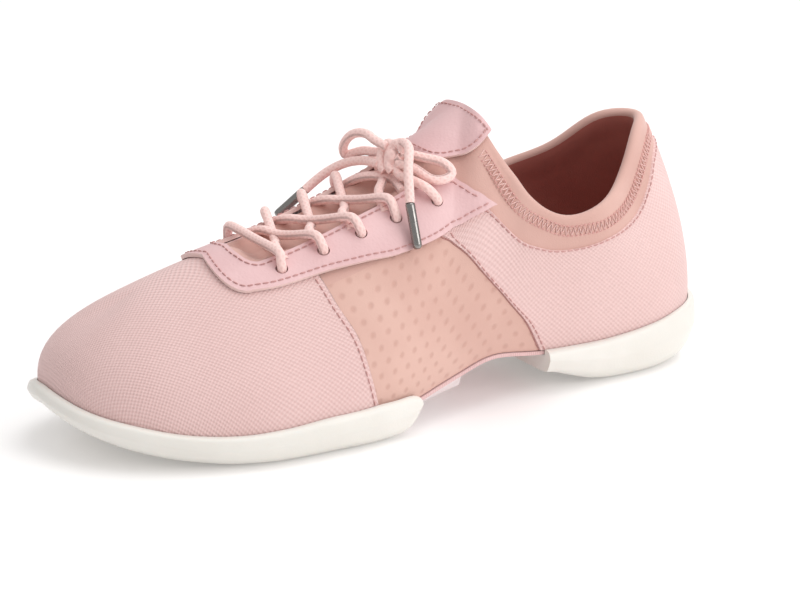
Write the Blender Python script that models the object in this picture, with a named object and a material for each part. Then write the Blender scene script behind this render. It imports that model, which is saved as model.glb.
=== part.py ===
"""Dance sneaker, left shoe, with a split sole.

Metres, +X to the toe, +Y to the outer side of the foot, +Z up. The origin is on the floor, under the
middle of the shoe. The upper is one hollow shell on the surface of the last. That surface runs over
stations 0 (back of the heel) to 15 (tip of the toe) on each side, and over a share 0 (bottom edge) to 1
(collar rim, or the ridge over the instep and toe) up each side. Every other piece takes its place from it.
"""

import math

import bmesh
import bpy
import numpy as np
from mathutils import Vector

# Driving dimensions
SHOE_MIDDLE = (-0.0008, 0.0014, 0.0)
UPPER_LENGTH = 0.2454
HEEL_BACK_X = -0.1235
BALL_HALF_WIDTH = 0.0424
UPPER_HEIGHT = 0.0975
ARCH_HEIGHT = 0.0186
WALL = 0.0022
CANVAS_STEP = 0.0006
COLLAR_WALL = 0.0036
CLEARANCE = 0.0003
BOARD = 0.0012
INSOLE = 0.0030
INSOLE_MARGIN = 0.0006
RIM_PROUD = 0.0034
EYESTAY = 0.0014
TAB = 0.0012
EYELET_HOLE = 0.0042
THROAT_SINK = 0.0064
LACE = 0.0032
AGLET = 0.0033
KNOT_RADIUS = 0.0030
CORD_STEP = 2.0
STRAND_STEP = 0.0038
OVER_EYESTAY = 4.5 * CLEARANCE + EYESTAY + 0.5 * LACE
UNDER_EDGE = 0.06
EDGE_INSET = 0.01
STEP_HALF_WIDTH = 0.00015
STATION_LENGTH = 0.017
SIDE_LENGTH = 0.070
RIM_REACH = 0.022
RIM_THICK_FROM = 0.001
RIM_THICK_TO = 0.012
STRAND_HEIGHT = (0.0034, 0.0021)

# The outside of a cup's wall, in metres: the least lip past the contact line, the lip's round, how far the
# wall swells below it, and how far the tread's corner lies in from the wall's lower edge
LIP_LEAST = 0.0018
LIP_ROUND = 0.0007
WALL_SWELL = 0.0007
TREAD_CORNER = 0.004
INSOLE_EDGE = 0.0008
DRILL_BELOW = 0.004
DRILL_ABOVE = 0.008

# The last, one row for each station from the heel back to the toe tip.
# place and top_x are shares of UPPER_LENGTH from the heel back. outer, inner, half, bulge, lean and middle
# are shares of BALL_HALF_WIDTH. bed is a share of ARCH_HEIGHT. top, rise and drop are shares of UPPER_HEIGHT.
# outer and inner are the half widths of the bottom edge, bed its height. top_x, half and top place the
# upper end of each side, bulge and rise its lower handle, spread, lean and drop its upper one.
LAST_COLUMNS = "place outer inner bed top_x half top bulge rise spread lean drop middle".split()
LAST_ROWS = (
    (0.000, 0.000, 0.000, 0.699, 0.069, 0.000, 0.914, 0.116, 0.317, 0.00, 0.231, 0.206, 0.000),
    (0.024, 0.425, 0.413, 0.699, 0.108, 0.324, 0.884, 0.102, 0.284, 0.00, 0.203, 0.212, 0.000),
    (0.086, 0.637, 0.613, 0.699, 0.157, 0.559, 0.767, 0.099, 0.248, 0.00, 0.144, 0.202, 0.000),
    (0.169, 0.696, 0.649, 0.753, 0.213, 0.767, 0.693, 0.093, 0.214, 0.00, 0.070, 0.165, 0.000),
    (0.259, 0.696, 0.625, 0.833, 0.282, 0.774, 0.664, 0.087, 0.193, 0.00, 0.047, 0.154, 0.012),
    (0.332, 0.696, 0.613, 0.910, 0.333, 0.696, 0.741, 0.087, 0.190, 0.00, 0.119, 0.183, 0.012),
    (0.393, 0.719, 0.625, 1.000, 0.356, 0.543, 0.842, 0.093, 0.200, 0.05, 0.209, 0.192, 0.012),
    (0.446, 0.767, 0.656, 0.875, 0.374, 0.284, 0.985, 0.101, 0.217, 0.35, 0.129, 0.075, 0.012),
    (0.503, 0.837, 0.708, 0.698, 0.370, 0.000, 1.011, 0.106, 0.232, 0.55, 0.000, 0.000, 0.012),
    (0.589, 0.960, 0.814, 0.492, 0.511, 0.000, 0.815, 0.106, 0.242, 0.61, 0.000, 0.000, 0.011),
    (0.678, 0.998, 0.908, 0.431, 0.646, 0.000, 0.689, 0.098, 0.218, 0.55, 0.000, 0.000, 0.008),
    (0.768, 0.968, 0.932, 0.430, 0.736, 0.000, 0.627, 0.095, 0.205, 0.54, 0.000, 0.000, -0.028),
    (0.854, 0.825, 0.884, 0.468, 0.801, 0.000, 0.582, 0.095, 0.201, 0.56, 0.000, 0.000, -0.057),
    (0.930, 0.579, 0.743, 0.636, 0.846, 0.000, 0.544, 0.094, 0.201, 0.60, 0.000, 0.000, -0.097),
    (0.982, 0.222, 0.531, 0.850, 0.868, 0.000, 0.522, 0.087, 0.198, 0.62, 0.000, 0.000, -0.124),
    (1.000, -0.189, 0.189, 0.985, 0.878, 0.000, 0.509, 0.075, 0.187, 0.58, 0.000, 0.000, -0.129),
)
LAST = dict(zip(LAST_COLUMNS, np.array(LAST_ROWS).T))
TOE = len(LAST_ROWS) - 1
ROUND = 2 * TOE
TONGUE = 8

# Panel edges: the station of each edge at a share of the way up, and the share of the quarter's top edge
VAMP_EDGE = ((0.0, 9.15), (0.21, 9.38), (0.36, 9.55), (0.51, 9.80), (0.64, 9.95), (1.0, 10.40))
QUARTER_EDGE = (
    (0.0, 4.70), (0.20, 5.18), (0.33, 5.98), (0.41, 7.00), (0.53, 8.10), (0.66, 8.45), (0.80, 8.30), (1.0, 8.0),
)
QUARTER_TOP = (
    (0.0, 0.86), (0.9, 0.83), (1.5, 0.78), (2.1, 0.76), (3.8, 0.76), (4.6, 0.72), (5.7, 0.67), (6.6, 0.63),
    (8.1, 0.60), (15.0, 0.60),
)

# Soles, one row for each station. rise is how far the cup stands up the upper, edge the height of the lower
# edge of its wall, tread the height of the tread inside it, tuck how far that edge is drawn in.
# rise and tuck are shares of CUP_RISE and CUP_TUCK, edge and tread shares of ARCH_HEIGHT.
CUP_RISE = 0.0090
CUP_TUCK = 0.0050
SOLE_COLUMNS = "station rise edge tread tuck".split()
FOREFOOT_ROWS = (
    (8.48, 0.22, 0.42, 0.40, 0.25),
    (8.60, 0.36, 0.17, 0.14, 0.40),
    (8.82, 0.46, 0.05, 0.02, 0.60),
    (9.30, 0.60, 0.02, 0.00, 0.80),
    (10.0, 0.60, 0.03, 0.00, 0.90),
    (10.8, 0.46, 0.03, 0.00, 0.90),
    (11.5, 0.38, 0.06, 0.00, 0.90),
    (12.2, 0.38, 0.17, 0.08, 0.80),
    (13.0, 0.40, 0.35, 0.24, 0.70),
    (13.8, 0.36, 0.55, 0.43, 0.60),
    (14.5, 0.40, 0.74, 0.62, 0.55),
    (15.0, 0.44, 0.84, 0.72, 0.55),
)
HEEL_ROWS = (
    (0.00, 1.00, 0.22, 0.06, 0.90),
    (1.00, 0.98, 0.11, 0.01, 0.90),
    (1.60, 0.90, 0.06, 0.00, 0.90),
    (2.35, 0.62, 0.03, 0.00, 0.90),
    (3.10, 0.32, 0.05, 0.00, 0.90),
    (3.50, 0.18, 0.11, 0.06, 0.80),
    (3.95, 0.10, 0.27, 0.22, 0.60),
    (4.30, 0.06, 0.40, 0.37, 0.40),
    (4.62, 0.04, 0.47, 0.45, 0.30),
)

# The block under the front of the arch: its end stations, the heights of its underside there, and how far
# it stands in from the edge of the shoe
LUG_REAR = 7.0
LUG_FRONT = 8.75
LUG_LOW_REAR = 0.0090
LUG_LOW_FRONT = 0.0062
LUG_INSET = 0.0020
LUG_DRAFT = 0.0015

# Eyestay: lower edge and throat edge, as shares up the side at a station, and where the slot and front end
EYESTAY_LOW = (
    (6.62, 0.660), (6.98, 0.590), (7.34, 0.555), (7.72, 0.540), (8.06, 0.540), (8.85, 0.580), (9.33, 0.620),
    (9.9, 0.650), (10.6, 0.662), (11.0, 0.680),
)
EYESTAY_THROAT = (
    (6.62, 0.660), (6.93, 0.642), (7.26, 0.642), (7.6, 0.660), (7.98, 0.690), (8.28, 0.745), (8.6, 0.785),
    (8.97, 0.800), (9.4, 0.808), (10.0, 0.804), (10.7, 0.800),
)
SLOT_BEND = 10.7
SLOT_FRONT = 11.08
FRONT_BEND = 11.0
EYESTAY_FRONT = 11.62
EYELETS = ((10.46, 0.730), (9.83, 0.735), (9.33, 0.732), (8.87, 0.712), (8.28, 0.665))

# Tongue tab: its lower edge, as shares up the side at a station
TAB_LOW = (
    (6.75, 0.985), (6.87, 0.940), (6.95, 0.885), (7.25, 0.805), (7.55, 0.772), (7.8, 0.762), (8.13, 0.785),
    (8.35, 0.840), (8.52, 0.900), (8.62, 1.000),
)

# Lace crossings, one row for each pair of eyelets and the next: the station where the upper strand leaves
# the throat's inner edge, where the lower one leaves its outer edge, and how far both stand higher, in metres
CROSSINGS = ((10.20, 10.36, 0.0), (9.84, 9.86, 0.0), (9.36, 9.44, 0.0), (8.92, 9.00, 0.0012))
LAST_STRAND_END = (8.80, 0.94)

# The bow, in metres: the middle of the knot, then the route of each loop, end, tail and aglet
KNOT = (-0.0015, 0.0035, 0.0849)
LOOP_INNER = (
    (-0.0005, 0.0020, 0.0886), (0.0009, -0.0040, 0.0898), (0.0013, -0.0075, 0.0908), (0.0021, -0.0115, 0.0907),
    (0.0033, -0.0150, 0.0893), (0.0041, -0.0175, 0.0868), (0.0041, -0.0193, 0.0839), (0.0032, -0.0200, 0.0815),
    (0.0021, -0.0190, 0.0812), (0.0005, -0.0150, 0.0830), (-0.0003, -0.0108, 0.0842), (-0.0009, -0.0068, 0.0847),
    (-0.0016, -0.0010, 0.0855),
)
LOOP_OUTER = (
    (-0.0034, 0.0060, 0.0867), (-0.0063, 0.0085, 0.0866), (-0.0086, 0.0120, 0.0862), (-0.0112, 0.0150, 0.0858),
    (-0.0133, 0.0180, 0.0849), (-0.0145, 0.0200, 0.0831), (-0.0141, 0.0208, 0.0815), (-0.0117, 0.0210, 0.0806),
    (-0.0095, 0.0203, 0.0803), (-0.0074, 0.0188, 0.0806), (-0.0061, 0.0165, 0.0816), (-0.0052, 0.0140, 0.0826),
    (-0.0036, 0.0110, 0.0836), (-0.0018, 0.0065, 0.0836),
)
END_INNER = (
    (0.0018, 0.0010, 0.0828), (0.0018, -0.0040, 0.0822), (0.0022, -0.0085, 0.0816), (0.0042, -0.0130, 0.0805),
    (0.0068, -0.0175, 0.0783), (0.0105, -0.0212, 0.0749), (0.0145, -0.0230, 0.0713), (0.0167, -0.0235, 0.0694),
)
AGLET_INNER = ((0.0167, -0.0235, 0.0694), (0.0269, -0.0255, 0.0611))
END_OUTER = (
    (-0.0036, 0.0040, 0.0900), (-0.0039, 0.0075, 0.0908), (-0.0029, 0.0117, 0.0903), (-0.0012, 0.0147, 0.0887),
    (0.0014, 0.0186, 0.0844), (0.0030, 0.0218, 0.0802), (0.0043, 0.0245, 0.0753),
)
AGLET_OUTER = ((0.0043, 0.0245, 0.0753), (0.0047, 0.0306, 0.0611))
TAIL_PLACES = ((8.30, 0.665), (8.42, 0.710), (8.54, 0.755))
TAIL_OUTER = ((-0.0018, 0.0115, 0.0801), (-0.0013, 0.0088, 0.0804))

COLOURS = {
    "canvas": ((0.86, 0.62, 0.60), 0.85),
    "leather": ((0.84, 0.60, 0.62), 0.50),
    "rubber": ((0.91, 0.90, 0.87), 0.45),
    "board": ((0.88, 0.68, 0.67), 0.70),
    "lining": ((0.55, 0.30, 0.29), 0.90),
    "lace": ((0.88, 0.63, 0.62), 0.80),
    "metal": ((0.25, 0.24, 0.25), 0.30),
}


def clear_scene():
    for thing in list(bpy.data.objects):
        bpy.data.objects.remove(thing, do_unlink=True)


def table(columns, rows):
    return dict(zip(columns, np.array(rows).T))


def material(name):
    found = bpy.data.materials.get(name)
    if found:
        return found
    colour, roughness = COLOURS[name]
    made = bpy.data.materials.new(name)
    made.use_nodes = True
    shader = made.node_tree.nodes["Principled BSDF"]
    shader.inputs["Base Color"].default_value = (*colour, 1.0)
    shader.inputs["Roughness"].default_value = roughness
    shader.inputs["Metallic"].default_value = 1.0 if name == "metal" else 0.0
    return made


# Curves through the rows of a table


def spline_slopes(values, closed):
    """Second differences of the cubic spline through the rows of values."""
    count = len(values)
    matrix = np.zeros((count, count))
    right = np.zeros_like(values)
    for i in range(count):
        if not closed and i in (0, count - 1):
            matrix[i, i] = 1.0
            continue
        matrix[i, i] = 4.0
        matrix[i, (i - 1) % count] += 1.0
        matrix[i, (i + 1) % count] += 1.0
        right[i] = 6.0 * (values[(i + 1) % count] - 2.0 * values[i] + values[(i - 1) % count])
    return np.linalg.solve(matrix, right)


def spline(values, places, closed):
    """Points and first differences of that spline at the places, which count rows."""
    values = np.asarray(values, float)
    bends = spline_slopes(values, closed)
    count = len(values)
    places = np.asarray(places, float)
    first = np.floor(places).astype(int)
    if not closed:
        first = np.clip(first, 0, count - 2)
    part = (places - first)[:, None]
    first = first % count
    second = (first + 1) % count
    rest = 1.0 - part
    points = values[first] * rest + values[second] * part
    points = points + ((rest**3 - rest) * bends[first] + (part**3 - part) * bends[second]) / 6.0
    steps = values[second] - values[first]
    steps = steps + ((1.0 - 3.0 * rest**2) * bends[first] + (3.0 * part**2 - 1.0) * bends[second]) / 6.0
    return points, steps


def read(rows, place):
    """A two-column table read at a place, along a smooth monotone curve."""
    rows = np.array(rows)
    x, y = rows[:, 0], rows[:, 1]
    place = np.clip(place, x[0], x[-1])
    gaps = np.diff(x)
    slopes = np.diff(y) / gaps
    tangents = np.zeros(len(x))
    for i in range(1, len(x) - 1):
        if slopes[i - 1] * slopes[i] > 0.0:
            tangents[i] = 2.0 / (1.0 / slopes[i - 1] + 1.0 / slopes[i])
    tangents[0], tangents[-1] = slopes[0], slopes[-1]
    i = np.clip(np.searchsorted(x, place, side="right") - 1, 0, len(x) - 2)
    gap = gaps[i]
    f = (place - x[i]) / gap
    return (
        y[i] * (1.0 + 2.0 * f) * (1.0 - f) ** 2
        + tangents[i] * gap * f * (1.0 - f) ** 2
        + y[i + 1] * f**2 * (3.0 - 2.0 * f)
        + tangents[i + 1] * gap * f**2 * (f - 1.0)
    )


def smooth(low, high, value):
    part = np.clip((value - low) / (high - low), 0.0, 1.0)
    return part * part * (3.0 - 2.0 * part)


# The surface of the last


def throat_sink(side, shares):
    """How far the tongue lies below the round of the last, between the halves of the eyestay."""
    along = smooth(8.3, 8.8, side) * (1.0 - smooth(10.5, 11.05, side))
    return THROAT_SINK * along[:, None] * smooth(0.80, 0.96, shares)


def both_sides(outer, inner):
    """Rows of the outer side and then, backwards, those of the inner side."""
    return np.vstack([outer, inner[1:-1][::-1]])


def last_rows():
    place = HEEL_BACK_X + LAST["place"] * UPPER_LENGTH
    bed = LAST["bed"] * ARCH_HEIGHT
    handles = [
        LAST["bulge"] * BALL_HALF_WIDTH,
        LAST["rise"] * UPPER_HEIGHT,
        LAST["spread"],
        LAST["lean"] * BALL_HALF_WIDTH,
        LAST["drop"] * UPPER_HEIGHT,
    ]
    outer = np.column_stack([place, LAST["outer"] * BALL_HALF_WIDTH, bed, *handles])
    inner = np.column_stack([place, -LAST["inner"] * BALL_HALF_WIDTH, bed, *handles])
    return both_sides(outer, inner)


def top_rows():
    """The collar rim as a closed loop, and the ridge from the tongue to the toe."""
    top_x = HEEL_BACK_X + LAST["top_x"] * UPPER_LENGTH
    middle = LAST["middle"] * BALL_HALF_WIDTH
    half = LAST["half"] * BALL_HALF_WIDTH
    top = LAST["top"] * UPPER_HEIGHT
    outer = np.column_stack([top_x, middle + half, top])[: TONGUE + 1]
    inner = np.column_stack([top_x, middle - half, top])[: TONGUE + 1]
    ridge = np.column_stack([top_x, middle, top])[TONGUE:]
    return both_sides(outer, inner), ridge


def last_point(stations, shares, sunk=True):
    """Points of the last, for stations 0 to 30 (the inner side from 15 on) and as many shares."""
    stations = np.asarray(stations, float)
    shares = np.asarray(shares, float)[:, None]
    loop, _ = spline(last_rows(), stations, True)
    step = 1e-3
    ahead, _ = spline(last_rows()[:, :2], stations + step, True)
    behind, _ = spline(last_rows()[:, :2], stations - step, True)
    along = ahead - behind
    out = np.column_stack([-along[:, 1], along[:, 0]])
    out /= np.linalg.norm(out, axis=1)[:, None]
    rim, ridge = top_rows()
    side = np.where(stations > TOE, ROUND - stations, stations)
    round_rim = np.where(stations > TOE, stations - (ROUND - 2 * TONGUE), stations)
    on_rim, _ = spline(rim, round_rim, True)
    on_ridge, down = spline(ridge, np.clip(side - TONGUE, 0.0, TOE - TONGUE), False)
    top = np.where((side < TONGUE)[:, None], on_rim, on_ridge)
    slope = down[:, 2] / down[:, 0] * smooth(TONGUE - 2.0, TONGUE, side)
    base = loop[:, :3]
    zero = np.zeros(len(stations))
    out = np.column_stack([out, zero])
    up = np.column_stack([zero, zero, zero + 1.0])
    flat = (base - top) * (1.0, 1.0, 0.0) * loop[:, 5:6]
    low_handle = base + out * loop[:, 3:4] + up * loop[:, 4:5]
    high_handle = top + flat + out * loop[:, 6:7] + up * ((flat[:, 0] * slope)[:, None] - loop[:, 7:8])
    rest = 1.0 - shares
    return (
        rest**3 * base
        + 3.0 * rest**2 * shares * low_handle
        + 3.0 * rest * shares**2 * high_handle
        + shares**3 * top
        - up * throat_sink(side, shares) * sunk
    )


def mirror(stations):
    """The same station on the other side."""
    return (ROUND - np.asarray(stations, float)) % ROUND


def skin(stations, shares, off, sunk=True):
    """Points a distance off the last, along its normal. On the ridge both sides share one normal."""
    stations = np.asarray(stations, float)
    shares = np.asarray(shares, float)

    def normals(t):
        step = 2e-3
        low = np.clip(shares - step, 0.0, 1.0)
        high = np.clip(shares + step, 0.0, 1.0)
        up = last_point(t, high, sunk) - last_point(t, low, sunk)
        along = last_point(t + step, shares, sunk) - last_point(t - step, shares, sunk)
        n = np.cross(up, along)
        n /= np.linalg.norm(n, axis=1)[:, None]
        return n

    n = normals(stations)
    side = np.where(stations > TOE, ROUND - stations, stations)
    ridge = (shares > 0.999) & (side >= TONGUE)
    other = normals(mirror(stations))
    n[ridge] = n[ridge] + other[ridge]
    n /= np.linalg.norm(n, axis=1)[:, None]
    return last_point(stations, shares, sunk) + n * np.asarray(off, float).reshape(-1, 1)


def bed_height(stations):
    return last_point(stations, np.zeros(len(np.atleast_1d(stations))))[:, 2]


# Meshes


def weld(points, faces, reach=2e-5):
    """Points closer than reach become one, and faces lose the corners that this doubles."""
    keys = {}
    index = np.zeros(len(points), int)
    kept = []
    for i, point in enumerate(points):
        key = tuple(np.round(point / reach).astype(int))
        if key not in keys:
            keys[key] = len(kept)
            kept.append(point)
        index[i] = keys[key]
    clean = []
    for face in faces:
        corners = []
        for i in face:
            j = int(index[i])
            if j not in corners:
                corners.append(j)
        if len(corners) > 2:
            clean.append(corners)
    return np.array(kept), clean, index


def make(name, points, faces, colour, smooth_angle=35.0):
    mesh = bpy.data.meshes.new(name)
    mesh.from_pydata([tuple(p) for p in points], [], [list(f) for f in faces])
    bm = bmesh.new()
    bm.from_mesh(mesh)
    bmesh.ops.triangulate(bm, faces=bm.faces, quad_method="SHORT_EDGE", ngon_method="EAR_CLIP")
    bmesh.ops.recalc_face_normals(bm, faces=bm.faces)
    bm.to_mesh(mesh)
    bm.free()
    mesh.shade_smooth()
    mesh.set_sharp_from_angle(angle=math.radians(smooth_angle))
    mesh.materials.append(material(colour))
    made = bpy.data.objects.new(name, mesh)
    bpy.context.scene.collection.objects.link(made)
    return made


def point_normals(points, faces):
    normals = np.zeros_like(points)
    for face in faces:
        corners = points[face]
        centre = corners.mean(0)
        total = np.zeros(3)
        for a, b in zip(corners, np.roll(corners, -1, 0)):
            total += np.cross(a - centre, b - centre)
        for i in face:
            normals[i] += total
    return normals / np.linalg.norm(normals, axis=1)[:, None]


def boundary_edges(faces):
    """Directed edges that only one face has."""
    edges = set()
    for face in faces:
        for a, b in zip(face, face[1:] + face[:1]):
            edges.add((a, b))
    return [(a, b) for a, b in sorted(edges) if (b, a) not in edges]


def sheet_solid(points, faces, outer, inner, edges=()):
    """Closes the space between two offsets of a sheet. edges maps a boundary point to the points that
    round its edge, from the outer side to the inner."""
    edges = dict(edges)
    count = len(points)
    every = [*outer, *inner]
    solid = [list(f) for f in faces]
    solid += [[i + count for i in reversed(f)] for f in faces]
    rows = {}
    for a, b in boundary_edges(faces):
        for i in (a, b):
            if i in rows:
                continue
            rows[i] = [i]
            for point in edges.get(i, ()):
                rows[i].append(len(every))
                every.append(point)
            rows[i].append(i + count)
        if len(rows[a]) == len(rows[b]):
            pairs = zip(rows[a], rows[a][1:], rows[b], rows[b][1:])
            solid += [[b0, a0, a1, b1] for a0, a1, b0, b1 in pairs]
        else:
            solid.append(rows[b][:1] + rows[a] + rows[b][1:][::-1])
    return np.array(every), solid


# The upper


def upper_grid():
    """Stations and shares of the outer side's grid, with the height of the wall over the bare neoprene."""
    quarter, middle, vamp = 17, 8, 13
    low, high = 8, 4
    columns = [(0, i / quarter) for i in range(quarter + 1)]
    columns += [(1, i / middle) for i in range(middle + 1)]
    columns += [(2, i / vamp) for i in range(vamp + 1)]
    rows = [(0, i / low) for i in range(low + 1)] + [(1, i / high) for i in range(high + 1)]
    stations = np.zeros((len(columns), len(rows)))
    shares = np.zeros_like(stations)
    canvas = np.zeros_like(stations, dtype=bool)
    nudge = STEP_HALF_WIDTH / STATION_LENGTH
    lift = STEP_HALF_WIDTH / SIDE_LENGTH
    for i, (zone, part) in enumerate(columns):
        for j, (band, level) in enumerate(rows):
            share = 0.5
            for _ in range(12):
                back = read(QUARTER_EDGE, share)
                front = read(VAMP_EDGE, share)
                ends = ((0.0, back), (back, front), (front, float(TOE)))[zone]
                station = ends[0] + part * (ends[1] - ends[0])
                split = read(QUARTER_TOP, station)
                share = level * split if band == 0 else split + level * (1.0 - split)
            in_quarter = zone == 0 and band == 0
            if part == 1.0 and zone == 0 and band == 0:
                station -= nudge
            if part == 0.0 and zone == 1 and band == 0:
                station += nudge
            if part == 1.0 and zone == 1:
                station -= nudge
            if part == 0.0 and zone == 2:
                station += nudge
            if level == 1.0 and in_quarter:
                share -= lift
            if level == 0.0 and band == 1 and zone == 0:
                share += lift
            stations[i, j] = station
            shares[i, j] = share
            canvas[i, j] = in_quarter or zone == 2
    return stations, shares, canvas


def build_upper():
    stations, shares, canvas = upper_grid()
    columns, rows = stations.shape
    both = np.concatenate([stations.ravel(), mirror(stations).ravel()])
    points = last_point(both, np.concatenate([shares.ravel()] * 2))
    grid = np.arange(columns * rows).reshape(columns, rows)
    faces = []
    for i in range(columns - 1):
        for j in range(rows - 1):
            square = [grid[i, j], grid[i + 1, j], grid[i + 1, j + 1], grid[i, j + 1]]
            faces.append(square[::-1])
            faces.append([k + columns * rows for k in square])
    points, faces, index = weld(points, faces)
    normals = point_normals(points, faces)
    if (normals * (points - points.mean(0))).sum() < 0.0:
        faces = [f[::-1] for f in faces]
        normals = -normals
    lift = np.full(len(points), -CANVAS_STEP)
    level = np.zeros(len(points))
    flags = np.concatenate([canvas.ravel()] * 2)
    levels = np.concatenate([shares.ravel()] * 2)
    for i, j in enumerate(index):
        if flags[i]:
            lift[j] = 0.0
        level[j] = levels[i]
    on_edge = boundary_edges(faces)
    after = dict(on_edge)
    before = {b: a for a, b in on_edge}
    rims = [i for i in after if level[i] > 0.5]
    bases = [i for i in after if level[i] <= 0.5]
    radius = 0.5 * COLLAR_WALL
    away = {}
    for i in rims:
        tangent = points[after[i]] - points[before[i]]
        direction = np.cross(tangent, normals[i])
        direction /= np.linalg.norm(direction)
        away[i] = direction
    rim_points = points[rims]
    rim_away = np.array([away[i] for i in rims])
    moved = points.copy()
    for i in range(len(points)):
        near = np.argmin(((rim_points - points[i]) ** 2).sum(1))
        gap = np.linalg.norm(rim_points[near] - points[i])
        share = 1.0 - smooth(0.0, RIM_REACH, gap)
        moved[i] = points[i] - rim_away[near] * radius * share
    gaps = np.sqrt(((points[:, None] - rim_points[None]) ** 2).sum(2).min(1))
    thick = WALL + (COLLAR_WALL - WALL) * (1.0 - smooth(RIM_THICK_FROM, RIM_THICK_TO, gaps))
    for i in bases:
        normals[i][2] = 0.0
        normals[i] /= np.linalg.norm(normals[i])
    outer = moved + normals * lift[:, None]
    inner = moved - normals * (CANVAS_STEP + thick)[:, None]
    rounding = {}
    for i in rims:
        centre = 0.5 * (outer[i] + inner[i])
        rounding[i] = [
            centre + radius * (math.cos(a) * normals[i] + math.sin(a) * away[i])
            for a in (math.pi / 4, math.pi / 2, 3 * math.pi / 4)
        ]
    points, faces = sheet_solid(points, faces, outer, inner, rounding)
    return make("upper", points, faces, "canvas")


# Pieces made of sections across the shoe, from one station to the next


def section_solid(name, stations, profile, across, colour):
    """profile(stations) gives, for stations of either side, the points from the top inner edge down the
    wall to the tread, as an array of stations by points by 3. Rings of both sides are joined."""
    outer = profile(stations)
    inner = profile(mirror(stations))
    rings = []
    for a, b in zip(outer, inner):
        steps = [i / (across + 1) for i in range(1, across + 1)]
        under = [a[-1] * (1 - f) + b[-1] * f for f in steps]
        over = [b[0] * (1 - f) + a[0] * f for f in steps]
        rings.append([*a, *under, *b[::-1], *over])
    size = len(rings[0])
    points = np.array([p for ring in rings for p in ring])
    faces = []
    for i in range(len(rings) - 1):
        for j in range(size):
            k = (j + 1) % size
            low, high = i * size, (i + 1) * size
            faces.append([low + j, low + k, high + k, high + j])
    last = (len(rings) - 1) * size
    if 0.0 < stations[0]:
        faces.append(list(range(size))[::-1])
    if stations[-1] < TOE:
        faces.append([last + j for j in range(size)])
    points, faces, _ = weld(points, faces)
    return make(name, points, faces, colour)


def outward(stations):
    """Unit normals of the bottom edge in plan."""
    step = 1e-3
    zero = np.zeros(len(stations))
    along = last_point(stations + step, zero) - last_point(stations - step, zero)
    out = np.column_stack([-along[:, 1], along[:, 0], zero])
    return out / np.linalg.norm(out, axis=1)[:, None]


def edge_points(stations, out, height):
    """Points a distance out from the bottom edge, at a height above the floor."""
    base = last_point(stations, np.zeros(len(stations)))
    points = base + outward(stations) * np.asarray(out, float).reshape(-1, 1)
    points[:, 2] = height
    return points


def cup_contact(stations, height):
    """Points on the upper's outside at a height, a clearance off it."""
    low = np.zeros(len(stations))
    high = np.full(len(stations), 0.5)
    for _ in range(30):
        middle = 0.5 * (low + high)
        over = last_point(stations, middle)[:, 2] > height
        high = np.where(over, middle, high)
        low = np.where(over, low, middle)
    return skin(stations, 0.5 * (low + high), np.full(len(stations), CLEARANCE))


def cup_profile(rows):
    """The profile of a cup sole's side, as section_solid takes it."""
    sole = table(SOLE_COLUMNS, rows)

    def profile(stations):
        side = np.where(stations > TOE, ROUND - stations, stations)
        value = {
            name: np.array([read(np.column_stack([sole["station"], sole[name]]), s) for s in side])
            for name in SOLE_COLUMNS[1:]
        }
        bed = bed_height(stations)
        floor = bed - 2.0 * CLEARANCE - BOARD
        rise = value["rise"] * CUP_RISE
        rim = bed + rise
        edge = value["edge"] * ARCH_HEIGHT
        tread = value["tread"] * ARCH_HEIGHT
        tuck = value["tuck"] * CUP_TUCK
        wall = rim - edge
        contact = cup_contact(stations, rim)
        half_up = cup_contact(stations, bed + 0.5 * rise)
        reach = ((contact - edge_points(stations, 0.0 * rim, rim)) * outward(stations)).sum(1)
        proud = np.maximum(RIM_PROUD + 0.0 * rim, reach + LIP_LEAST)
        bed_corner = edge_points(stations, CLEARANCE + 0.0 * rim, bed)
        floor_corner = edge_points(stations, CLEARANCE + 0.0 * rim, floor)
        layers = [
            floor_corner,
            bed_corner,
            half_up,
            contact,
            edge_points(stations, 0.5 * (reach + proud), rim),
            edge_points(stations, proud, rim - LIP_ROUND),
            edge_points(stations, proud + WALL_SWELL, rim - 0.42 * wall),
            edge_points(stations, proud + 0.4 * WALL_SWELL, rim - 0.50 * wall),
            edge_points(stations, proud - 0.30 * tuck, edge + 0.20 * wall),
            edge_points(stations, proud - tuck, edge),
            edge_points(stations, proud - tuck - TREAD_CORNER, tread),
        ]
        return np.stack(layers, axis=1)

    return profile


def build_sole(name, rows, count):
    sole = table(SOLE_COLUMNS, rows)
    first, last = sole["station"][0], sole["station"][-1]
    stations = np.linspace(first, last, count)
    return section_solid(name, stations, cup_profile(rows), 3, "rubber")


def build_lug(sole):
    """The block set in under the front of the arch, joined to the forefoot sole."""

    def profile(stations):
        side = np.where(stations > TOE, ROUND - stations, stations)
        part = (side - LUG_REAR) / (LUG_FRONT - LUG_REAR)
        top = bed_height(stations) - 3.5 * CLEARANCE - BOARD
        low = LUG_LOW_REAR + part * (LUG_LOW_FRONT - LUG_LOW_REAR)
        inset = 0.0 * part - LUG_INSET
        return np.stack([edge_points(stations, inset, top), edge_points(stations, inset - LUG_DRAFT, low)], axis=1)

    helper = section_solid("forefoot_lug", np.linspace(LUG_REAR, LUG_FRONT, 10), profile, 1, "rubber")
    join_hidden(sole, helper)


def join_hidden(piece, helper):
    helper.hide_render = True
    helper.display_type = "WIRE"
    join = piece.modifiers.new(helper.name, "BOOLEAN")
    join.operation = "UNION"
    join.solver = "EXACT"
    join.use_self = True
    join.object = helper


def build_board():
    def profile(stations):
        bed = bed_height(stations)
        out = 0.0 * bed
        return np.stack(
            [edge_points(stations, out, bed - CLEARANCE), edge_points(stations, out, bed - CLEARANCE - BOARD)], axis=1
        )

    return section_solid("arch_board", np.linspace(0.0, TOE, 31), profile, 1, "board")


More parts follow.
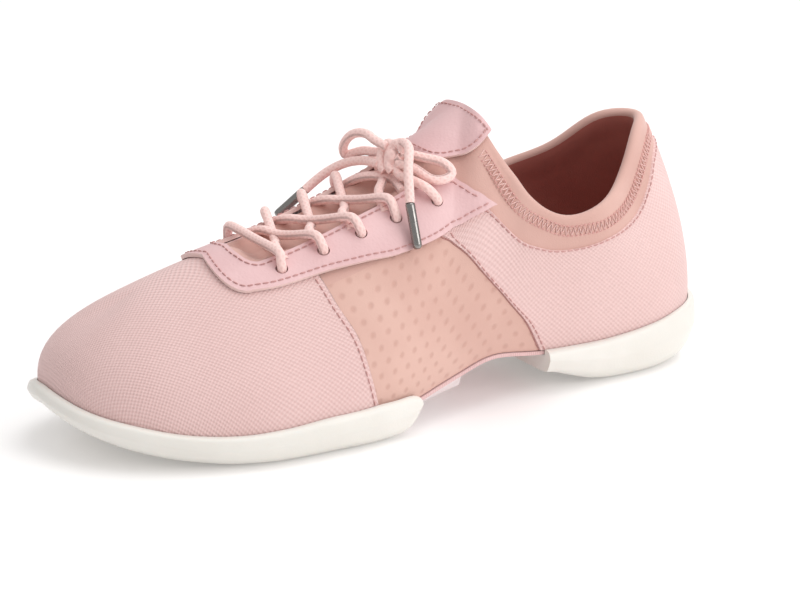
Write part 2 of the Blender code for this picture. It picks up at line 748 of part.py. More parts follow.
def build_insole():
    def profile(stations):
        bed = bed_height(stations)
        out = 0.0 * bed - (CANVAS_STEP + WALL + INSOLE_MARGIN)
        return np.stack(
            [
                edge_points(stations, out - INSOLE_EDGE, bed + INSOLE),
                edge_points(stations, out, bed + INSOLE - INSOLE_EDGE),
                edge_points(stations, out, bed),
            ],
            axis=1,
        )

    return section_solid("insole", np.linspace(0.0, TOE, 29), profile, 1, "lining")


# Overlays on the upper


def strip_solid(name, stations, low, high, rows, lift, thickness, sunk=True):
    """A leather sheet over both sides between two shares at each station, welded along the ridge."""
    count = len(stations)
    t = np.repeat(stations, rows + 1)
    f = np.tile(np.linspace(0.0, 1.0, rows + 1), count)
    s = np.repeat(low, rows + 1) * (1.0 - f) + np.repeat(high, rows + 1) * f
    both_t = np.concatenate([t, mirror(t)])
    both_s = np.concatenate([s, s])
    points = last_point(both_t, both_s)
    under = skin(both_t, both_s, np.full(len(both_t), lift), sunk)
    over = skin(both_t, both_s, np.full(len(both_t), lift + thickness), sunk)
    grid = np.arange(count * (rows + 1)).reshape(count, rows + 1)
    faces = []
    for i in range(count - 1):
        for j in range(rows):
            square = [grid[i, j], grid[i + 1, j], grid[i + 1, j + 1], grid[i, j + 1]]
            faces.append(square[::-1])
            faces.append([k + grid.size for k in square])
    kept, faces, index = weld(points, faces)
    outer = np.zeros_like(kept)
    inner = np.zeros_like(kept)
    for i, j in enumerate(index):
        outer[j] = over[i]
        inner[j] = under[i]
    points, faces = sheet_solid(kept, faces, outer, inner)
    return make(name, points, faces, "leather")


def build_eyestay():
    rear = EYESTAY_LOW[0][0]
    legs = np.concatenate([np.linspace(rear, 8.3, 10), np.linspace(8.3, SLOT_BEND, 12)[1:]])
    bend = np.linspace(0.0, 0.5 * math.pi, 6)[1:]
    slot = SLOT_BEND + (SLOT_FRONT - SLOT_BEND) * np.sin(bend)
    front = FRONT_BEND + (EYESTAY_FRONT - FRONT_BEND) * np.sin(np.linspace(0.0, 0.5 * math.pi, 9)[1:])
    front = front[front > SLOT_FRONT + 0.02]
    stations = np.concatenate([legs, slot, front])
    low, high = [], []
    low_end = EYESTAY_LOW[-1][1]
    throat_end = EYESTAY_THROAT[-1][1]
    for t in stations:
        turn = np.clip((t - FRONT_BEND) / (EYESTAY_FRONT - FRONT_BEND), 0.0, 1.0)
        low.append(1.0 - (1.0 - low_end) * math.sqrt(1.0 - turn**2) if turn > 0.0 else read(EYESTAY_LOW, t))
        turn = np.clip((t - SLOT_BEND) / (SLOT_FRONT - SLOT_BEND), 0.0, 1.0)
        high.append(1.0 - (1.0 - throat_end) * math.sqrt(1.0 - turn**2) if turn > 0.0 else read(EYESTAY_THROAT, t))
    made = strip_solid("eyestay", stations, np.array(low), np.array(high), 3, CLEARANCE, EYESTAY)
    for number, (station, share) in enumerate(EYELETS, 1):
        for side, t in (("outer", station), ("inner", float(mirror(station)))):
            drill(made, f"eyelet_cutter_{side}_{number}", t, share)
    return made


def drill(piece, name, station, share):
    """Cuts one round hole straight through the eyestay."""
    low = skin([station], [share], [-DRILL_BELOW])[0]
    high = skin([station], [share], [DRILL_ABOVE])[0]
    mesh = bpy.data.meshes.new(name)
    bm = bmesh.new()
    bmesh.ops.create_cone(
        bm, cap_ends=True, segments=12, radius1=EYELET_HOLE / 2, radius2=EYELET_HOLE / 2,
        depth=float(np.linalg.norm(high - low)),
    )
    bm.to_mesh(mesh)
    bm.free()
    cutter = bpy.data.objects.new(name, mesh)
    cutter.location = Vector((high + low) / 2)
    cutter.rotation_mode = "QUATERNION"
    cutter.rotation_quaternion = Vector(high - low).to_track_quat("Z", "Y")
    cutter.hide_render = True
    cutter.display_type = "WIRE"
    bpy.context.scene.collection.objects.link(cutter)
    cut = piece.modifiers.new(name, "BOOLEAN")
    cut.operation = "DIFFERENCE"
    cut.solver = "EXACT"
    cut.object = cutter


def build_tab():
    first, last = TAB_LOW[0][0], TAB_LOW[-1][0]
    stations = np.concatenate([np.linspace(first, TONGUE, 9), np.linspace(TONGUE, last, 7)[1:]])
    low = np.array([read(TAB_LOW, t) for t in stations])
    high = np.where(stations < TONGUE, 0.99, 1.0)
    return strip_solid("tongue_tab", stations, low, high, 3, 2.0 * CLEARANCE, TAB, sunk=False)


# Laces


def smooth_route(route, spacing):
    """Points at an even spacing on a smooth curve through the route's own points."""
    count = len(route)
    places = np.linspace(0.0, count - 1, 24 * (count - 1) + 1)
    fine, _ = spline(route, places, False)
    lengths = np.concatenate([[0.0], np.cumsum(np.linalg.norm(np.diff(fine, axis=0), axis=1))])
    steps = max(1, round(lengths[-1] / spacing))
    wanted = np.linspace(0.0, lengths[-1], steps + 1)
    return np.column_stack([np.interp(wanted, lengths, fine[:, i]) for i in range(3)])


def halved(route):
    """The route with the middle of each stretch added, so that the curve through it doesn't swing out."""
    points = [route[0]]
    for a, b in zip(route, route[1:]):
        points += [0.5 * (a + b), b]
    return points


def clear_of_knot(route):
    """The part of a smooth route that lies outside the knot."""
    fine = smooth_route(route, 0.0002)
    free = np.linalg.norm(fine - np.array(KNOT), axis=1) > KNOT_RADIUS + 2.0 * CLEARANCE
    return fine[free]


def cord(name, route, diameter, colour):
    """A free stretch of lace or an aglet, as a bevelled curve."""
    fine = clear_of_knot(route)
    lengths = np.concatenate([[0.0], np.cumsum(np.linalg.norm(np.diff(fine, axis=0), axis=1))])
    steps = max(1, round(lengths[-1] / (CORD_STEP * diameter)))
    wanted = np.linspace(0.0, lengths[-1], steps + 1)
    points = np.column_stack([np.interp(wanted, lengths, fine[:, i]) for i in range(3)])
    curve = bpy.data.curves.new(name, "CURVE")
    curve.dimensions = "3D"
    curve.bevel_depth = diameter / 2
    curve.bevel_resolution = 2
    curve.use_fill_caps = True
    line = curve.splines.new("POLY")
    line.points.add(len(points) - 1)
    for point, place in zip(line.points, points):
        point.co = (*place, 1.0)
    curve.materials.append(material(colour))
    made = bpy.data.objects.new(name, curve)
    bpy.context.scene.collection.objects.link(made)
    return made


def tube_mesh(name, path, diameter):
    """A closed eight-sided tube along a path that lies over the instep."""
    path = np.array(path)
    along = np.gradient(path, axis=0)
    along /= np.linalg.norm(along, axis=1)[:, None]
    side = np.cross(along, (0.0, 0.0, 1.0))
    side /= np.linalg.norm(side, axis=1)[:, None]
    up = np.cross(side, along)
    sides = 8
    points, faces = [], []
    for place, x, y in zip(path, side, up):
        for k in range(sides):
            angle = 2.0 * math.pi * (k + 0.5) / sides
            points.append(place + 0.5 * diameter * (math.cos(angle) * x + math.sin(angle) * y))
    for i in range(len(path) - 1):
        for k in range(sides):
            m = (k + 1) % sides
            faces.append([i * sides + k, i * sides + m, (i + 1) * sides + m, (i + 1) * sides + k])
    faces.append(list(range(sides))[::-1])
    faces.append([(len(path) - 1) * sides + k for k in range(sides)])
    return make(name, np.array(points), faces, "lace")


def strand_place(place, height):
    """A point off the last at a place, which is a station, a share and whether it is on the outer side."""
    station, share, outer = place
    return skin([station if outer else float(mirror(station))], [share], [height])[0]


def crossing_path(start, end, over_edge, rise):
    """From the slot's edge on one side, over the tongue, to the other side: there it runs over the eyestay
    to an eyelet, or ends under its edge."""
    over = OVER_EYESTAY
    low = 2.0 * CLEARANCE + 0.5 * LACE
    first = strand_place(start, low)
    if not over_edge:
        last = strand_place(end, low)
        middle = over_ridge(0.5 * (first[0] + last[0]), STRAND_HEIGHT[0] + rise)
        return smooth_route([first, middle, last], STRAND_STEP)
    last = strand_place(end, over)
    at_edge = end[0] + 0.2 * (start[0] - end[0])
    edge_place = (at_edge, float(read(EYESTAY_THROAT, at_edge)) - EDGE_INSET, end[2])
    edge = strand_place(edge_place, over + 1.5 * CLEARANCE)
    height = STRAND_HEIGHT[0 if end[2] else 1] + rise
    middle = over_ridge(0.5 * (first[0] + edge[0]), height)
    return smooth_route([*halved([first, middle, edge]), last], STRAND_STEP)


def over_ridge(x, height):
    """The point over the ridge of the tongue at a distance along the shoe."""
    low, high = float(TONGUE), float(TOE)
    for _ in range(30):
        middle = 0.5 * (low + high)
        if skin([middle], [1.0], [height])[0][0] < x:
            low = middle
        else:
            high = middle
    return skin([low], [1.0], [height])[0]


def build_crossings():
    """The bar over the first pair of eyelets, and the crossings from each pair to the next."""
    station, share = EYELETS[0]
    over = OVER_EYESTAY
    sides = [station, float(mirror(station))]
    ends = [skin([t], [share], [over])[0] for t in sides]
    edges = [skin([t], [read(EYESTAY_THROAT, station) - EDGE_INSET], [over + CLEARANCE])[0] for t in sides]
    route = [ends[0], *halved(edges), ends[1]]
    tube_mesh("lace_bar", smooth_route(route, STRAND_STEP), LACE)
    for number, (upper_start, lower_start, rise) in enumerate(CROSSINGS, 1):
        last = number == len(CROSSINGS)
        eyelet = EYELETS[number]
        start = (upper_start, float(read(EYESTAY_THROAT, upper_start)) + UNDER_EDGE, False)
        end = (*LAST_STRAND_END, True)
        upper_path = crossing_path(start, end if last else (*eyelet, True), not last, rise)
        start = (lower_start, float(read(EYESTAY_THROAT, lower_start)) + UNDER_EDGE, True)
        lower_path = crossing_path(start, (*eyelet, False), True, rise)
        made = tube_mesh(f"lace_cross_{number}", upper_path, LACE)
        join_hidden(made, tube_mesh(f"lace_under_{number}", lower_path, LACE))


def build_bow():
    mesh = bpy.data.meshes.new("lace_knot")
    bm = bmesh.new()
    bmesh.ops.create_icosphere(bm, subdivisions=2, radius=KNOT_RADIUS)
    bm.to_mesh(mesh)
    bm.free()
    mesh.shade_smooth()
    mesh.materials.append(material("lace"))
    knot = bpy.data.objects.new("lace_knot", mesh)
    knot.location = KNOT
    bpy.context.scene.collection.objects.link(knot)
    cord("lace_loop_inner", LOOP_INNER, LACE, "lace")
    cord("lace_loop_outer", LOOP_OUTER, LACE, "lace")
    cord("lace_end_inner", END_INNER, LACE, "lace")
    cord("lace_end_outer", END_OUTER, LACE, "lace")
    tail = [strand_place((*place, True), OVER_EYESTAY + 2.5 * CLEARANCE) for place in TAIL_PLACES]
    cord("lace_tail_outer", (*tail, *TAIL_OUTER), LACE, "lace")
    for name, (start, end) in (("aglet_inner", AGLET_INNER), ("aglet_outer", AGLET_OUTER)):
        start, end = np.array(start), np.array(end)
        start = start + (end - start) / np.linalg.norm(end - start) * 2.0 * CLEARANCE
        cord(name, (start, end), AGLET, "metal")


def main():
    clear_scene()
    build_upper()
    build_board()
    build_insole()
    build_lug(build_sole("sole_forefoot", FOREFOOT_ROWS, 24))
    build_sole("sole_heel", HEEL_ROWS, 18)
    build_eyestay()
    build_tab()
    build_crossings()
    build_bow()
    for thing in bpy.data.objects:
        thing.location -= Vector(SHOE_MIDDLE)


main()
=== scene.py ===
import math

import bmesh
import bpy
import numpy as np
from mathutils import Matrix, Vector


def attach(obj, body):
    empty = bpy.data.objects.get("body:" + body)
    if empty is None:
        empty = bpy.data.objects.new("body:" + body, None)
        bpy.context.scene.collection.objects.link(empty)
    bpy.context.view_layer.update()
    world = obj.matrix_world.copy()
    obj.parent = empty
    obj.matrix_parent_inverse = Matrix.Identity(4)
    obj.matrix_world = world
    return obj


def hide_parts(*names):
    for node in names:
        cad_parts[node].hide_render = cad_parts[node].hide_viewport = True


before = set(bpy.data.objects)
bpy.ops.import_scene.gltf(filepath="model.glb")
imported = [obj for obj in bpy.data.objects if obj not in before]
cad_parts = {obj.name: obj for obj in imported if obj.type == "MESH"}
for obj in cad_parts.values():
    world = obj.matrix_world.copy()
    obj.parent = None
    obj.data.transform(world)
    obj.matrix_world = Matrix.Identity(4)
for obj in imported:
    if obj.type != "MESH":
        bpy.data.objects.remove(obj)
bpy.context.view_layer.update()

# The shoe's own surface, with the same named sizes as the solids
SHOE_MIDDLE = (-0.0008, 0.0014, 0.0)
UPPER_LENGTH = 0.2454
HEEL_BACK_X = -0.1235
BALL_HALF_WIDTH = 0.0424
UPPER_HEIGHT = 0.0975
ARCH_HEIGHT = 0.0186
WALL = 0.0022
CANVAS_STEP = 0.0006
COLLAR_WALL = 0.0036
CLEARANCE = 0.0003
BOARD = 0.0012
INSOLE = 0.0030
INSOLE_MARGIN = 0.0006
RIM_PROUD = 0.0034
EYESTAY = 0.0014
TAB = 0.0012
EYELET_HOLE = 0.0042
THROAT_SINK = 0.0064
LACE = 0.0032
AGLET = 0.0033
OVER_EYESTAY = 4.5 * CLEARANCE + EYESTAY + 0.5 * LACE
UNDER_EDGE = 0.06
EDGE_INSET = 0.01
STEP_HALF_WIDTH = 0.00015
STATION_LENGTH = 0.017
SIDE_LENGTH = 0.070
RIM_REACH = 0.022
RIM_THICK_FROM = 0.001
RIM_THICK_TO = 0.012
STRAND_HEIGHT = (0.0034, 0.0021)
LIP_LEAST = 0.0018
LIP_ROUND = 0.0007
WALL_SWELL = 0.0007
TREAD_CORNER = 0.004
INSOLE_EDGE = 0.0008
DRILL_BELOW = 0.004
DRILL_ABOVE = 0.008
LAST_COLUMNS = "place outer inner bed top_x half top bulge rise spread lean drop middle".split()
LAST_ROWS = (
    (0.000, 0.000, 0.000, 0.699, 0.069, 0.000, 0.914, 0.116, 0.317, 0.00, 0.231, 0.206, 0.000),
    (0.024, 0.425, 0.413, 0.699, 0.108, 0.324, 0.884, 0.102, 0.284, 0.00, 0.203, 0.212, 0.000),
    (0.086, 0.637, 0.613, 0.699, 0.157, 0.559, 0.767, 0.099, 0.248, 0.00, 0.144, 0.202, 0.000),
    (0.169, 0.696, 0.649, 0.753, 0.213, 0.767, 0.693, 0.093, 0.214, 0.00, 0.070, 0.165, 0.000),
    (0.259, 0.696, 0.625, 0.833, 0.282, 0.774, 0.664, 0.087, 0.193, 0.00, 0.047, 0.154, 0.012),
    (0.332, 0.696, 0.613, 0.910, 0.333, 0.696, 0.741, 0.087, 0.190, 0.00, 0.119, 0.183, 0.012),
    (0.393, 0.719, 0.625, 1.000, 0.356, 0.543, 0.842, 0.093, 0.200, 0.05, 0.209, 0.192, 0.012),
    (0.446, 0.767, 0.656, 0.875, 0.374, 0.284, 0.985, 0.101, 0.217, 0.35, 0.129, 0.075, 0.012),
    (0.503, 0.837, 0.708, 0.698, 0.370, 0.000, 1.011, 0.106, 0.232, 0.55, 0.000, 0.000, 0.012),
    (0.589, 0.960, 0.814, 0.492, 0.511, 0.000, 0.815, 0.106, 0.242, 0.61, 0.000, 0.000, 0.011),
    (0.678, 0.998, 0.908, 0.431, 0.646, 0.000, 0.689, 0.098, 0.218, 0.55, 0.000, 0.000, 0.008),
    (0.768, 0.968, 0.932, 0.430, 0.736, 0.000, 0.627, 0.095, 0.205, 0.54, 0.000, 0.000, -0.028),
    (0.854, 0.825, 0.884, 0.468, 0.801, 0.000, 0.582, 0.095, 0.201, 0.56, 0.000, 0.000, -0.057),
    (0.930, 0.579, 0.743, 0.636, 0.846, 0.000, 0.544, 0.094, 0.201, 0.60, 0.000, 0.000, -0.097),
    (0.982, 0.222, 0.531, 0.850, 0.868, 0.000, 0.522, 0.087, 0.198, 0.62, 0.000, 0.000, -0.124),
    (1.000, -0.189, 0.189, 0.985, 0.878, 0.000, 0.509, 0.075, 0.187, 0.58, 0.000, 0.000, -0.129),
)
LAST = dict(zip(LAST_COLUMNS, np.array(LAST_ROWS).T))
TOE = len(LAST_ROWS) - 1
ROUND = 2 * TOE
TONGUE = 8
THROAT_BEGINS = (8.3, 8.8)
THROAT_ENDS = (10.5, 11.05)
THROAT_EDGE = (0.80, 0.96)
VAMP_EDGE = ((0.0, 9.15), (0.21, 9.38), (0.36, 9.55), (0.51, 9.80), (0.64, 9.95), (1.0, 10.40))
QUARTER_EDGE = (
    (0.0, 4.70), (0.20, 5.18), (0.33, 5.98), (0.41, 7.00),
    (0.53, 8.10), (0.66, 8.45), (0.80, 8.30), (1.0, 8.0),
)
QUARTER_TOP = (
    (0.0, 0.86), (0.9, 0.83), (1.5, 0.78), (2.1, 0.76), (3.8, 0.76), (4.6, 0.72), (5.7, 0.67), (6.6, 0.63),
    (8.1, 0.60), (15.0, 0.60),
)
CUP_RISE = 0.0090
CUP_TUCK = 0.0050
SOLE_COLUMNS = "station rise edge tread tuck".split()
FOREFOOT_ROWS = (
    (8.48, 0.22, 0.42, 0.40, 0.25),
    (8.60, 0.36, 0.17, 0.14, 0.40),
    (8.82, 0.46, 0.05, 0.02, 0.60),
    (9.30, 0.60, 0.02, 0.00, 0.80),
    (10.0, 0.60, 0.03, 0.00, 0.90),
    (10.8, 0.46, 0.03, 0.00, 0.90),
    (11.5, 0.38, 0.06, 0.00, 0.90),
    (12.2, 0.38, 0.17, 0.08, 0.80),
    (13.0, 0.40, 0.35, 0.24, 0.70),
    (13.8, 0.36, 0.55, 0.43, 0.60),
    (14.5, 0.40, 0.74, 0.62, 0.55),
    (15.0, 0.44, 0.84, 0.72, 0.55),
)
HEEL_ROWS = (
    (0.00, 1.00, 0.22, 0.06, 0.90),
    (1.00, 0.98, 0.11, 0.01, 0.90),
    (1.60, 0.90, 0.06, 0.00, 0.90),
    (2.35, 0.62, 0.03, 0.00, 0.90),
    (3.10, 0.32, 0.05, 0.00, 0.90),
    (3.50, 0.18, 0.11, 0.06, 0.80),
    (3.95, 0.10, 0.27, 0.22, 0.60),
    (4.30, 0.06, 0.40, 0.37, 0.40),
    (4.62, 0.04, 0.47, 0.45, 0.30),
)
LUG_REAR = 7.0
LUG_FRONT = 8.75
LUG_LOW_REAR = 0.0090
LUG_LOW_FRONT = 0.0062
LUG_INSET = 0.0020
LUG_DRAFT = 0.0015
EYESTAY_LOW = (
    (6.62, 0.660), (6.98, 0.590), (7.34, 0.555), (7.72, 0.540), (8.06, 0.540), (8.85, 0.580), (9.33, 0.620),
    (9.9, 0.650), (10.6, 0.662), (11.0, 0.680),
)
EYESTAY_THROAT = (
    (6.62, 0.660), (6.93, 0.642), (7.26, 0.642), (7.6, 0.660), (7.98, 0.690), (8.28, 0.745), (8.6, 0.785),
    (8.97, 0.800), (9.4, 0.808), (10.0, 0.804), (10.7, 0.800),
)
SLOT_BEND = 10.7
SLOT_FRONT = 11.08
FRONT_BEND = 11.0
EYESTAY_FRONT = 11.62
EYELETS = ((10.46, 0.730), (9.83, 0.735), (9.33, 0.732), (8.87, 0.712), (8.28, 0.665))
TAB_LOW = (
    (6.75, 0.985), (6.87, 0.940), (6.95, 0.885), (7.25, 0.805), (7.55, 0.772), (7.8, 0.762), (8.13, 0.785),
    (8.35, 0.840), (8.52, 0.900), (8.62, 1.000),
)
CROSSINGS = ((10.20, 10.36, 0.0), (9.84, 9.86, 0.0), (9.36, 9.44, 0.0), (8.92, 9.00, 0.0012))
LAST_STRAND_END = (8.80, 0.94)
KNOT = (-0.0015, 0.0035, 0.0849)
LOOP_INNER = (
    (-0.0005, 0.0020, 0.0886), (0.0009, -0.0040, 0.0898), (0.0013, -0.0075, 0.0908),
    (0.0021, -0.0115, 0.0907), (0.0033, -0.0150, 0.0893), (0.0041, -0.0175, 0.0868),
    (0.0041, -0.0193, 0.0839), (0.0032, -0.0200, 0.0815), (0.0021, -0.0190, 0.0812),
    (0.0005, -0.0150, 0.0830), (-0.0003, -0.0108, 0.0842), (-0.0009, -0.0068, 0.0847),
    (-0.0016, -0.0010, 0.0855),
)
LOOP_OUTER = (
    (-0.0034, 0.0060, 0.0867), (-0.0063, 0.0085, 0.0866), (-0.0086, 0.0120, 0.0862),
    (-0.0112, 0.0150, 0.0858), (-0.0133, 0.0180, 0.0849), (-0.0145, 0.0200, 0.0831),
    (-0.0141, 0.0208, 0.0815), (-0.0117, 0.0210, 0.0806), (-0.0095, 0.0203, 0.0803),
    (-0.0074, 0.0188, 0.0806), (-0.0061, 0.0165, 0.0816), (-0.0052, 0.0140, 0.0826),
    (-0.0036, 0.0110, 0.0836), (-0.0018, 0.0065, 0.0836),
)
END_INNER = (
    (0.0018, 0.0010, 0.0828), (0.0018, -0.0040, 0.0822), (0.0022, -0.0085, 0.0816),
    (0.0042, -0.0130, 0.0805), (0.0068, -0.0175, 0.0783), (0.0105, -0.0212, 0.0749),
    (0.0145, -0.0230, 0.0713), (0.0167, -0.0235, 0.0694),
)
AGLET_INNER = ((0.0167, -0.0235, 0.0694), (0.0269, -0.0255, 0.0611))
END_OUTER = (
    (-0.0036, 0.0040, 0.0900), (-0.0039, 0.0075, 0.0908), (-0.0029, 0.0117, 0.0903),
    (-0.0012, 0.0147, 0.0887), (0.0014, 0.0186, 0.0844), (0.0030, 0.0218, 0.0802),
    (0.0043, 0.0245, 0.0753),
)
AGLET_OUTER = ((0.0043, 0.0245, 0.0753), (0.0047, 0.0306, 0.0611))
TAIL_PLACES = ((8.30, 0.665), (8.42, 0.710), (8.54, 0.755))
TAIL_OUTER = ((-0.0018, 0.0115, 0.0801), (-0.0013, 0.0088, 0.0804))


def table(columns, rows):
    """The rows' columns by name."""
    return dict(zip(columns, np.array(rows).T))


def spline_slopes(values, closed):
    """Second differences of the cubic spline through the rows of values."""
    count = len(values)
    matrix = np.zeros((count, count))
    right = np.zeros_like(values)
    for i in range(count):
        if not closed and i in (0, count - 1):
            matrix[i, i] = 1.0
            continue
        matrix[i, i] = 4.0
        matrix[i, (i - 1) % count] += 1.0
        matrix[i, (i + 1) % count] += 1.0
        right[i] = 6.0 * (values[(i + 1) % count] - 2.0 * values[i] + values[(i - 1) % count])
    return np.linalg.solve(matrix, right)


def spline(values, places, closed):
    """Points and first differences of that spline at the places, which count rows."""
    values = np.asarray(values, float)
    bends = spline_slopes(values, closed)
    count = len(values)
    places = np.asarray(places, float)
    first = np.floor(places).astype(int)
    if not closed:
        first = np.clip(first, 0, count - 2)
    part = (places - first)[:, None]
    first = first % count
    second = (first + 1) % count
    rest = 1.0 - part
    points = values[first] * rest + values[second] * part
    points = points + ((rest**3 - rest) * bends[first] + (part**3 - part) * bends[second]) / 6.0
    steps = values[second] - values[first]
    steps = steps + ((1.0 - 3.0 * rest**2) * bends[first] + (3.0 * part**2 - 1.0) * bends[second]) / 6.0
    return points, steps


def read(rows, place):
    """A two-column table read at a place, along a smooth monotone curve."""
    rows = np.array(rows)
    x, y = rows[:, 0], rows[:, 1]
    place = np.clip(place, x[0], x[-1])
    gaps = np.diff(x)
    slopes = np.diff(y) / gaps
    tangents = np.zeros(len(x))
    for i in range(1, len(x) - 1):
        if slopes[i - 1] * slopes[i] > 0.0:
            tangents[i] = 2.0 / (1.0 / slopes[i - 1] + 1.0 / slopes[i])
    tangents[0], tangents[-1] = slopes[0], slopes[-1]
    i = np.clip(np.searchsorted(x, place, side="right") - 1, 0, len(x) - 2)
    gap = gaps[i]
    f = (place - x[i]) / gap
    return (
        y[i] * (1.0 + 2.0 * f) * (1.0 - f) ** 2
        + tangents[i] * gap * f * (1.0 - f) ** 2
        + y[i + 1] * f**2 * (3.0 - 2.0 * f)
        + tangents[i + 1] * gap * f**2 * (f - 1.0)
    )


def smooth(low, high, value):
    """A share that goes smoothly from 0 at low to 1 at high."""
    part = np.clip((value - low) / (high - low), 0.0, 1.0)
    return part * part * (3.0 - 2.0 * part)


def outer_side(stations):
    """The same station on the outer side, for stations of either side."""
    return np.where(stations > TOE, ROUND - stations, stations)


def unit(rows):
    return rows / np.linalg.norm(rows, axis=1)[:, None]


def throat_sink(side, shares):
    """How far the tongue lies below the round of the last, between the halves of the eyestay."""
    along = smooth(*THROAT_BEGINS, side) * (1.0 - smooth(*THROAT_ENDS, side))
    return THROAT_SINK * along[:, None] * smooth(*THROAT_EDGE, shares)


def both_sides(outer, inner):
    """Rows of the outer side and then, backwards, those of the inner side."""
    return np.vstack([outer, inner[1:-1][::-1]])


def last_rows():
    """The last's sections as rows of lengths, once around the shoe."""
    place = HEEL_BACK_X + LAST["place"] * UPPER_LENGTH
    bed = LAST["bed"] * ARCH_HEIGHT
    handles = [
        LAST["bulge"] * BALL_HALF_WIDTH,
        LAST["rise"] * UPPER_HEIGHT,
        LAST["spread"],
        LAST["lean"] * BALL_HALF_WIDTH,
        LAST["drop"] * UPPER_HEIGHT,
    ]
    outer = np.column_stack([place, LAST["outer"] * BALL_HALF_WIDTH, bed, *handles])
    inner = np.column_stack([place, -LAST["inner"] * BALL_HALF_WIDTH, bed, *handles])
    return both_sides(outer, inner)


def top_rows():
    """The collar rim as a closed loop, and the ridge from the tongue to the toe."""
    top_x = HEEL_BACK_X + LAST["top_x"] * UPPER_LENGTH
    middle = LAST["middle"] * BALL_HALF_WIDTH
    half = LAST["half"] * BALL_HALF_WIDTH
    top = LAST["top"] * UPPER_HEIGHT
    outer = np.column_stack([top_x, middle + half, top])[: TONGUE + 1]
    inner = np.column_stack([top_x, middle - half, top])[: TONGUE + 1]
    ridge = np.column_stack([top_x, middle, top])[TONGUE:]
    return both_sides(outer, inner), ridge


# Short steps along the shoe in plan, and along and up its surface, that give its directions
PLAN_STEP = 1e-3
SKIN_STEP = 2e-3

# Above this share a point is on the ridge
RIDGE_SHARE = 0.999

# Halvings in a search for a place, and points in each stretch of a route
HALVINGS = 30
STRETCH_PARTS = 24


def last_point(stations, shares, sunk=True):
    """Points of the last, for stations 0 to 30 (the inner side from 15 on) and as many shares."""
    stations = np.asarray(stations, float)
    shares = np.asarray(shares, float)[:, None]
    loop, _ = spline(last_rows(), stations, True)
    ahead, _ = spline(last_rows()[:, :2], stations + PLAN_STEP, True)
    behind, _ = spline(last_rows()[:, :2], stations - PLAN_STEP, True)
    along = ahead - behind
    out = unit(np.column_stack([-along[:, 1], along[:, 0]]))
    rim, ridge = top_rows()
    side = outer_side(stations)
    round_rim = np.where(stations > TOE, stations - (ROUND - 2 * TONGUE), stations)
    on_rim, _ = spline(rim, round_rim, True)
    on_ridge, down = spline(ridge, np.clip(side - TONGUE, 0.0, TOE - TONGUE), False)
    top = np.where((side < TONGUE)[:, None], on_rim, on_ridge)
    slope = down[:, 2] / down[:, 0] * smooth(TONGUE - 2.0, TONGUE, side)
    base = loop[:, :3]
    zero = np.zeros(len(stations))
    out = np.column_stack([out, zero])
    up = np.column_stack([zero, zero, zero + 1.0])
    flat = (base - top) * (1.0, 1.0, 0.0) * loop[:, 5:6]
    low_handle = base + out * loop[:, 3:4] + up * loop[:, 4:5]
    high_handle = top + flat + out * loop[:, 6:7] + up * ((flat[:, 0] * slope)[:, None] - loop[:, 7:8])
    rest = 1.0 - shares
    return (
        rest**3 * base
        + 3.0 * rest**2 * shares * low_handle
        + 3.0 * rest * shares**2 * high_handle
        + shares**3 * top
        - up * throat_sink(side, shares) * sunk
    )


def mirror(stations):
    """The same station on the other side."""
    return (ROUND - np.asarray(stations, float)) % ROUND


def skin(stations, shares, off, sunk=True):
    """Points a distance off the last, along its normal. On the ridge both sides share one normal."""
    stations = np.asarray(stations, float)
    shares = np.asarray(shares, float)

    def normals(t):
        low = np.clip(shares - SKIN_STEP, 0.0, 1.0)
        high = np.clip(shares + SKIN_STEP, 0.0, 1.0)
        up = last_point(t, high, sunk) - last_point(t, low, sunk)
        along = last_point(t + SKIN_STEP, shares, sunk) - last_point(t - SKIN_STEP, shares, sunk)
        return unit(np.cross(up, along))

    n = normals(stations)
    side = outer_side(stations)
    ridge = (shares > RIDGE_SHARE) & (side >= TONGUE)
    other = normals(mirror(stations))
    n[ridge] = n[ridge] + other[ridge]
    return last_point(stations, shares, sunk) + unit(n) * np.asarray(off, float).reshape(-1, 1)


WELD_REACH = 2e-5


def bed_height(stations):
    """The height of the last's bottom edge."""
    return last_point(stations, np.zeros(len(np.atleast_1d(stations))))[:, 2]


def weld(points, faces):
    """Points closer than WELD_REACH become one, and faces lose the corners that this doubles. Gives the
    numbers of the points kept, the faces, the numbers of the faces kept and each old point's new number."""
    keys = {}
    index = np.zeros(len(points), int)
    kept = []
    for i, point in enumerate(points):
        key = tuple(np.round(point / WELD_REACH).astype(int))
        if key not in keys:
            keys[key] = len(kept)
            kept.append(i)
        index[i] = keys[key]
    clean, clean_numbers = [], []
    for number, face in enumerate(faces):
        corners = list(dict.fromkeys(int(index[i]) for i in face))
        if len(corners) > 2:
            clean.append(corners)
            clean_numbers.append(number)
    return kept, clean, clean_numbers, index


def two_sided_faces(columns, rows):
    """The squares of a grid of points on the outer side, each followed by the inner side's."""
    grid = np.arange(columns * rows).reshape(columns, rows)
    faces = []
    for i in range(columns - 1):
        for j in range(rows - 1):
            square = [grid[i, j], grid[i + 1, j], grid[i + 1, j + 1], grid[i, j + 1]]
            faces += [square[::-1], [k + grid.size for k in square]]
    return faces


def point_normals(points, faces):
    """Unit normals of the points, from the faces around each."""
    normals = np.zeros_like(points)
    for face in faces:
        corners = points[face]
        centre = corners.mean(0)
        total = np.zeros(3)
        for a, b in zip(corners, np.roll(corners, -1, 0)):
            total += np.cross(a - centre, b - centre)
        for i in face:
            normals[i] += total
    return unit(normals)


def boundary_edges(faces):
    """Directed edges that only one face has."""
    edges = set()
    for face in faces:
        for a, b in zip(face, face[1:] + face[:1]):
            edges.add((a, b))
    return [(a, b) for a, b in sorted(edges) if (b, a) not in edges]


